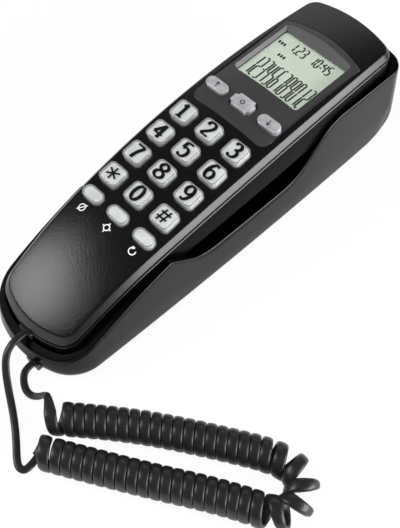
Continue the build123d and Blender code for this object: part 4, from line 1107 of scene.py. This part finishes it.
def heel(ring, wall=0.0):
    """Height of the rounded underside at the head end, a little flatter than an arc seen from the side."""
    start, radius = BASE_HALF - HEEL, HEEL - wall
    reach = np.clip(ring[:, 1] - start, 0, radius - THIN)
    return wall + radius - (radius**HEEL_POWER - reach**HEEL_POWER) ** (1 / HEEL_POWER)


print("rim from", round(rim_line[:, 1].min(), 1), "to", round(rim_line[:, 1].max(), 1), "mm high")

# %% [markdown]
# The shell's rows go from the middle of the hollow's ceiling out and down the inner wall, in to the back
# plate's opening, through it, out under the bottom, up the outer wall, which leans in a little, to the narrow
# lip, over the rim and down into the cradle. Cutting one block out of another would be shorter, but it leaves
# no rows along the rim to round.

# %% Base
BASE_EDGE, SOFTNESS = 5.5, 4.0
DRAFT, LIP_WIDTH, LIP_DROP, RIM_ROUND = 0.6, 0.9, 1.0, 0.25
LIP_LEAD, LIP_RUN, LIP_ROUNDS, LIP_STEPS = 0.8, 1.0, [0.6, 0.5], 5
CRADLE_GAP, CRADLE_REACH, BASE_REACH = 0.6, 20.0, 20.0
WALL_SHARES, CRADLE_SHARES = (0.35, 0.7, 0.9, 0.97), (0.3, 0.6, 0.85, 1.0)
CEILING_STEPS, PLATE_STEPS, BOTTOM_STEPS, UNDER_STEPS, CRADLE_STEPS = 14, 9, 12, 10, 16
HOLLOW_PLAN = (46.8, (-91.8, 88.5), 0.0, 3000.0, (38.8, 13.8), (74.8, 8.0))
OPENING_PLAN = (33.3, (-84.65, 56.15), 0.0, 1e5, (1e3, 6.15), (1e3, 6.15))


def under_edge(inset):
    """Ring of the outer bottom edge: the arc of the edge and the heel, joined softly where they cross."""
    ring = base_plan(-inset)
    rise = BASE_EDGE - math.sqrt(max(BASE_EDGE**2 - (BASE_EDGE - inset) ** 2, 0))
    return lifted(ring, (rise**SOFTNESS + heel(ring) ** SOFTNESS) ** (1 / SOFTNESS))


hollow, opening = plan(*HOLLOW_PLAN), plan(*OPENING_PLAN)
cradle = handset_plan(CRADLE_GAP)
rows = [
    lifted(r, along(ceiling_line, r)) for r in inwards(hollow, np.linspace(0, 1, CEILING_STEPS), BASE_REACH)]
for share in np.linspace(0, 1, PLATE_STEPS):
    ring = hollow + (opening - hollow) * share
    rows.append(lifted(ring, np.maximum(BASE_WALL, heel(ring, BASE_WALL))))
for share in np.linspace(0, 1, BOTTOM_STEPS)[:-1]:
    ring = opening + (base_plan(-BASE_EDGE) - opening) * share
    rows.append(lifted(ring, heel(ring)))
rows += [under_edge(inset) for inset in BASE_EDGE * (1 - np.sin(np.linspace(0, math.pi / 2, UNDER_STEPS)))]
low = rows[-1][:, 2]
lip_foot = np.maximum(along(rim_line, base_plan()) - LIP_DROP, low + RIM_ROUND)
rows += [lifted(base_plan(-DRAFT * share), low + (lip_foot - low) * share) for share in WALL_SHARES]
lip = rounded(
    [(DRAFT, -LIP_DROP - LIP_LEAD), (DRAFT, -LIP_DROP), (LIP_WIDTH, 0.0), (LIP_WIDTH + LIP_RUN, 0.0)],
    LIP_ROUNDS, LIP_STEPS)
for inset, drop in lip[1:-1]:
    ring = base_plan(-inset)
    rows.append(lifted(ring, np.maximum(along(rim_line, ring) + drop, low + RIM_ROUND)))
for grow, drop in ((RIM_ROUND, 0.0), (RIM_ROUND / 4, -RIM_ROUND / 4), (0.0, -RIM_ROUND)):
    ring = handset_plan(CRADLE_GAP + grow)
    rows.append(lifted(ring, along(rim_line, ring) + drop))
wall_top, wall_foot = rows[-1][:, 2], along(floor_line, cradle)
rows += [lifted(cradle, wall_top + (wall_foot - wall_top) * share) for share in CRADLE_SHARES]
rows += [
    lifted(r, along(floor_line, r))
    for r in inwards(cradle, np.linspace(1, 0, CRADLE_STEPS)[1:], CRADLE_REACH)]
base = add_object("base_shell_skin", skin("base_shell_skin", rows), "Black gloss ABS", "base")
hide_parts("base_shell")
print("base faces", len(base.data.polygons))

# %% [markdown]
# The rim's top and the cradle are duller than the walls, and the rim's rounded edges catch a line of light.
# These are parts of one moulding, so they are painted on its faces. Then the openings for the plunger, the
# line socket and the cord's sleeve are cut.

# %% Finishes and holes of the base
RIM_TOP = (0.82, 7.0)  # faces that look up this much, over this height, are the rim's top and the cradle
paint(base, "Black low-gloss ABS",
      lambda normals, middles: (normals[:, 2] > RIM_TOP[0]) & (middles[:, 2] > RIM_TOP[1]))
# the rim's rounded edges lean this much, well over the floor, and look outwards or lie near an end
BEAD_LEAN, OVER_FLOOR, OUTWARDS, NEAR_END = (0.32, 0.82), 2.0, 0.25, 6.0
paint(base, "Black polished ABS strip", lambda normals, middles: (
    (normals[:, 2] > BEAD_LEAN[0]) & (normals[:, 2] <= BEAD_LEAN[1])
    & ((np.abs(normals[:, 0]) > OUTWARDS) | (np.abs(middles[:, 1]) > BASE_HALF - NEAR_END))
    & (middles[:, 2] > np.interp(middles[:, 1], *floor_line.T) + OVER_FLOOR)))

PLUNGER_Y, PLUNGER_HOLE = 66.0, 6.8
JACK_Y, JACK_Z, JACK_MOUTH, JACK_CUT = 28.0, 11.0, (9.8, 6.6, 0.3), (-28.0, -22.9)
BASE_SLEEVE_X, BASE_SLEEVE_Z, BASE_SEAT = 6.5, 3.5, (-97.0, -90.1)
cut(base, blocks_mesh("plunger_hole", [
    prism(disc(0.0, PLUNGER_Y, PLUNGER_HOLE), FLOOR_HEAD - BASE_WALL - OVERRUN, FLOOR_HEAD + OVERRUN)]))


def sideways(x, y, z):
    """Places for a block that lies along X: its plane is Y and Z, its height is X."""
    return upright(z, x, y)


mouth = rounded_box(*JACK_MOUTH) + np.array([JACK_Y, JACK_Z])
cut(base, blocks_mesh("jack_hole", [prism(mouth, *JACK_CUT, sideways)]))
cut(base, blocks_mesh("base_sleeve_seat", [sleeve_seat(BASE_SLEEVE_X, BASE_SLEEVE_Z, *BASE_SEAT)]))

# %% [markdown]
# ## Cord
# A curly cord is a flat cable wound on a rod and baked. Its middle line is a smooth spline that the route's
# points lead. Straight pieces would be simpler, but the turns would then jump at each corner. Along the line
# the turns lie close, with a wider pitch in the bend and at both ends.

# %% Cord route
CURL_RADIUS, CURL_HEIGHT = 5.1, 6.35
CURL_PITCH, BEND_PITCH, END_PITCH, TURNS, PER_TURN = 3.85, 6.8, 8.0, 44.5, 44
BEND_REACH_SHARE, FINE_STEPS, SMOOTHING = 0.75, 4000, 60
ROUTE_ORDER, AXIS_RESOLUTION, TAIL_RESOLUTION = 3, 24, 10
CURL_LINE = [(0.0294, -0.1036), (0.0470, -0.0882), (0.0710, -0.0718), (0.1040, -0.0524),
             (0.1144, -0.0704), (0.0929, -0.0804), (0.0650, -0.0982), (0.0350, -0.1154)]
BASE_TAIL = [(0.0065, -0.0940, 0.0035), (0.0065, -0.0973, 0.0035), (0.0086, -0.1002, 0.0029),
             (0.0124, -0.1024, 0.0023), (0.0162, -0.1026, 0.0032), (0.0194, -0.1014, 0.0056),
             (0.0218, -0.1002, 0.0087)]
HANDSET_TAIL = [(0.0, -0.0902, 0.0138), (0.0, -0.0934, 0.0138), (0.0002, -0.0970, 0.0134),
                (0.0014, -0.1006, 0.0119), (0.0046, -0.1039, 0.0094), (0.0099, -0.1074, 0.0063),
                (0.0166, -0.1112, 0.0036), (0.0220, -0.1147, 0.0023), (0.0266, -0.1180, 0.0018),
                (0.0304, -0.1210, 0.0016), (0.0340, -0.1230, 0.0015)]


def spline_points(points, resolution):
    """Points read from a smooth NURBS curve, in millimetres."""
    curve = bpy.data.curves.new("route", "CURVE")
    curve.dimensions, curve.resolution_u = "3D", resolution
    spline = curve.splines.new("NURBS")
    spline.points.add(len(points) - 1)
    spline.points.foreach_set("co", np.column_stack([points, np.ones(len(points))]).ravel())
    spline.order_u = ROUTE_ORDER
    spline.use_endpoint_u = True
    holder = bpy.data.objects.new("route", curve)
    mesh = bpy.data.meshes.new_from_object(holder)
    found = np.empty(len(mesh.vertices) * 3)
    mesh.vertices.foreach_get("co", found)
    bpy.data.objects.remove(holder)
    bpy.data.meshes.remove(mesh)
    bpy.data.curves.remove(curve)
    return found.reshape(-1, 3) / MM


def lengths(points):
    """Length run at each point of a line."""
    return np.concatenate([[0.0], np.cumsum(np.linalg.norm(np.diff(points, axis=0), axis=1))])


def at_places(places, known, points):
    """Points between known ones, read off at other places along the line."""
    return np.stack([np.interp(places, known, points[:, k]) for k in range(3)], 1)


def averaged(values):
    """Running average along a line, which rounds off sudden changes."""
    window = np.ones(2 * SMOOTHING + 1) / (2 * SMOOTHING + 1)
    return np.convolve(np.pad(values, SMOOTHING, "edge"), window, "valid")


axis = spline_points([(x, y, CURL_HEIGHT * MM) for x, y in CURL_LINE], AXIS_RESOLUTION)
run = lengths(axis)
bend_from, bend_to = np.array(CURL_LINE[3]) / MM, np.array(CURL_LINE[4]) / MM
bend_reach = np.linalg.norm(bend_to - bend_from) * BEND_REACH_SHARE
fine = np.linspace(0, run[-1], FINE_STEPS)
axis_fine = at_places(fine, run, axis)
near_bend = np.linalg.norm(axis_fine[:, :2] - (bend_from + bend_to) / 2, axis=1) < bend_reach
pitch = np.where(near_bend, BEND_PITCH, CURL_PITCH)
pitch = averaged(np.where((fine < END_PITCH / 2) | (fine > run[-1] - END_PITCH / 2), END_PITCH, pitch))
turns = np.concatenate([[0.0], np.cumsum(np.diff(fine) / ((pitch[1:] + pitch[:-1]) / 2))])
print("curl axis mm", round(run[-1], 1), "turns of the pitch", round(turns[-1], 2))

# %% [markdown]
# The helix winds round that line, and the cable's flat section is carried along it, flat side outwards. A
# curve with a bevel object could twist a flat section, so here the section follows the helix's own radius.

# %% Cord helix
up = np.array([0.0, 0.0, 1.0])
turns *= TURNS / turns[-1]
winding = np.linspace(0, TURNS, int(TURNS * PER_TURN) + 1)
at = np.interp(winding, turns, fine)
forward = np.gradient(axis_fine, axis=0)
forward = unit(np.stack([averaged(forward[:, k]) for k in range(3)], 1))
side = unit(np.cross(up, at_places(at, fine, forward)))
angle = math.pi / 2 + 2 * math.pi * winding
radial = side * np.cos(angle)[:, None] + up * np.sin(angle)[:, None]
helix = at_places(at, fine, axis_fine) + radial * CURL_RADIUS

CABLE_WIDTH, CABLE_THICK, TAIL_WIDTH, TAIL_THICK = 3.9, 2.1, 2.8, 1.7
SECTION_POINTS, SECTION_POWER, END_RUN = 24, 0.8, 6.0
FAN_SHARE = 0.22  # bands touch in the run, and look broader where the bend fans them out


def cable(line, normals, widths, thicks):
    """Flat rounded section carried along a line: a superellipse across the width and the normal."""
    ways = unit(np.gradient(line, axis=0))
    normals = unit(normals - ways * np.sum(normals * ways, axis=1, keepdims=True))
    across = np.cross(ways, normals)
    t = np.linspace(0, 2 * math.pi, SECTION_POINTS, endpoint=False)
    flat = np.sign(np.cos(t)) * np.abs(np.cos(t)) ** SECTION_POWER
    deep = np.sign(np.sin(t)) * np.abs(np.sin(t)) ** SECTION_POWER
    return (line[:, None] + across[:, None] * (flat[None, :, None] * widths[:, None, None] / 2)
            + normals[:, None] * (deep[None, :, None] * thicks[:, None, None] / 2))


spacing = np.linalg.norm(helix[PER_TURN:] - helix[:-PER_TURN], axis=1)
spacing = np.interp(np.arange(len(helix)), np.arange(len(spacing)) + PER_TURN / 2, spacing)
fanned = CABLE_WIDTH + FAN_SHARE * np.maximum(spacing - CABLE_WIDTH, 0)
coil_widths = np.minimum(fanned, spacing)
level = np.array([1.0, 1.0, 0.0])
first_way, last_way = unit((helix[1] - helix[0]) * level), unit((helix[-1] - helix[-2]) * level)
base_tail = spline_points(
    BASE_TAIL + [tuple((helix[0] - first_way * END_RUN) * MM), tuple(helix[0] * MM)],
    TAIL_RESOLUTION)[:-1]
handset_tail = spline_points(
    HANDSET_TAIL + [tuple((helix[-1] + last_way * END_RUN) * MM), tuple(helix[-1] * MM)], TAIL_RESOLUTION)
print("least cable width", round(float(coil_widths.min()), 2))

# %% [markdown]
# The base's tail and the curls are one piece on the base. The handset's tail is a second piece, which runs
# from the handset towards the curls and rides on no body. Both are tubes of one section, closed at their
# ends.

# %% Cord pieces
CABLE_SHARP = 60.0
tail_count = len(base_tail)
cord_line = np.concatenate([base_tail, helix])
cord_normals = np.concatenate([np.tile(up, (tail_count, 1)), radial])
swell = np.clip((lengths(cord_line) - lengths(cord_line)[tail_count] + END_RUN) / END_RUN, 0, 1)
cord_widths = np.concatenate([np.full(tail_count, coil_widths[0]), coil_widths])
cord_widths = TAIL_WIDTH + (cord_widths - TAIL_WIDTH) * swell
cord_thicks = TAIL_THICK + (CABLE_THICK - TAIL_THICK) * swell
cord_tube = cable(cord_line, cord_normals, cord_widths, cord_thicks)
curly = add_object(
    "curly_cord_cable", blocks_mesh("curly_cord_cable", [cord_tube], CABLE_SHARP), "Black soft PVC", "base")
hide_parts("curly_cord", "cord_base_tail")
ones = np.ones(len(handset_tail))
tail_tube = cable(handset_tail, ones[:, None] * up, ones * TAIL_WIDTH, ones * TAIL_THICK)
tail = add_object(
    "handset_cord_cable", blocks_mesh("handset_cord_cable", [tail_tube], CABLE_SHARP), "Black soft PVC", None)
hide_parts("cord_handset_tail")
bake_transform(tail)
for piece, line, leaves, width in ((curly, cord_line, BASE_TAIL[0], CABLE_WIDTH),
                                   (tail, handset_tail, HANDSET_TAIL[0], TAIL_WIDTH)):
    float(lengths(line)[-1] * MM)
    print(piece.name, "length mm", round(lengths(line)[-1], 1))

# %% [markdown]
# ## Pieces that keep their CAD shape
# Boards, screws, switch and the like are right as they are, so they only get their finishes. Making them
# again would add nothing that can be seen.

# %% Finishes for CAD nodes
CAD_FINISHES = {
    "Black plain ABS": ("base_back_plate", "ringer", "hook_switch"),
    "Zinc plated steel": ("base_screws", "handset_screws", "earpiece_receiver", "microphone"),
    "Green circuit board": ("base_board", "main_board"),
    "Smoked polycarbonate": ("line_jack",),
    "White acetal": ("hook_plunger",),
    "Black soft PVC": ("base_cord_sleeve", "handset_cord_sleeve"),
    "Translucent silicone rubber": ("keypad_mat",),
    "Liquid crystal glass": ("lcd_module",),
}
for finish, names in CAD_FINISHES.items():
    for name in names:
        nodes[name].data.materials.clear()
        nodes[name].data.materials.append(finishes[finish])
print("CAD nodes kept", sum(len(names) for names in CAD_FINISHES.values()))

# %% [markdown]
# ## Floor and light
# The phone lies on a white table. To the camera the table is nearly pure white and keeps only the shadow; a
# mirror sees more of the table's own shade, so the base's walls darken towards their foot. More light would
# whiten the table too, but it would also grey the black plastic, so the table glows a little instead.

# %% Table
TABLE_REACH, TABLE_Z, TABLE_COLOUR, TABLE_ROUGHNESS = 3.0, -0.0003, "#e6e6e6", 0.9
CAMERA_GLOW, MIRROR_GLOW, WHITE = 0.93, 0.25, (1, 1, 1, 1)
floor_mesh = bpy.data.meshes.new("table")
floor_mesh.from_pydata(
    [(x * TABLE_REACH, y * TABLE_REACH, TABLE_Z) for x, y in ((-1, -1), (1, -1), (1, 1), (-1, 1))],
    [], [(0, 1, 2, 3)])
table = bpy.data.objects.new("table", floor_mesh)
bpy.context.scene.collection.objects.link(table)
table_white, tree, matt = finish_material(
    "White table", Base_Color=linear(TABLE_COLOUR), Roughness=TABLE_ROUGHNESS)
path = add(tree, "ShaderNodeLightPath")
seen = add(tree, "ShaderNodeMath", {
    0: path.outputs["Is Camera Ray"], 1: path.outputs["Is Transmission Ray"]}, operation="MAXIMUM")
seen = add(tree, "ShaderNodeMath", {0: seen.outputs[0], 1: CAMERA_GLOW}, operation="MULTIPLY")
mirrored = add(tree, "ShaderNodeMath", {
    0: path.outputs["Is Glossy Ray"], 1: MIRROR_GLOW}, operation="MULTIPLY")
share = add(tree, "ShaderNodeMath", {0: seen.outputs[0], 1: mirrored.outputs[0]}, operation="MAXIMUM")
glow = add(tree, "ShaderNodeEmission", {"Color": WHITE, "Strength": 1.0})
blend = add(tree, "ShaderNodeMixShader", {0: share.outputs[0], 1: matt.outputs[0], 2: glow.outputs[0]})
tree.links.new(blend.outputs[0], tree.nodes["Material Output"].inputs["Surface"])
floor_mesh.materials.append(table_white)
print("table m", 2 * TABLE_REACH)

# %% [markdown]
# The room is white to the camera and dim to everything else. A bright room would light the phone from all
# sides and take its highlights away.

# %% Room
ROOM_LIGHT = 0.12
world = bpy.data.worlds.new("studio")
bpy.context.scene.world = world
world.use_nodes = True
tree = world.node_tree
path = add(tree, "ShaderNodeLightPath")
background = tree.nodes["Background"]
background.inputs["Color"].default_value = WHITE
strength = add(tree, "ShaderNodeMapRange", {
    "Value": path.outputs["Is Camera Ray"], "To Min": ROOM_LIGHT, "To Max": 1.0})
tree.links.new(strength.outputs["Result"], background.inputs["Strength"])
print("room light", ROOM_LIGHT)

# %% [markdown]
# A soft lamp from the left gives the mouthpiece its broad highlight. A low one on the right lights the strip
# and the base's side, and a weak one behind lights the head. One overhead, which mirrors don't see, lights
# keys and display. One large lamp would be simpler, but each of these makes a highlight of its own.

# %% Lamps
LAMP_TARGET = Vector((0.0, -0.02, 0.03))
# name: azimuth, elevation, distance, width, height, power, whether mirrors see it
LAMPS = {
    "left": (-45.0, 38.0, 0.8, 0.38, 0.38, 2.9, True),
    "right_low": (111.0, 15.0, 0.9, 0.9, 0.44, 11.5, True),
    "behind": (-140.0, 28.0, 1.1, 0.7, 0.5, 0.9, True),
    "overhead": (20.0, 72.0, 1.0, 0.5, 0.5, 8.0, False),
}
for name, (azimuth, elevation, distance, width, height, power, mirrored) in LAMPS.items():
    light = bpy.data.lights.new(name, "AREA")
    light.shape, light.size, light.size_y, light.energy = "RECTANGLE", width, height, power
    holder = bpy.data.objects.new(name, light)
    bpy.context.scene.collection.objects.link(holder)
    back = facing(azimuth, elevation)
    holder.location = LAMP_TARGET + back * distance
    holder.rotation_euler = back.to_track_quat("Z", "Y").to_euler()
    holder.visible_glossy = mirrored
print("lamps", len(LAMPS))
bpy.context.scene.view_settings.view_transform = "Standard"
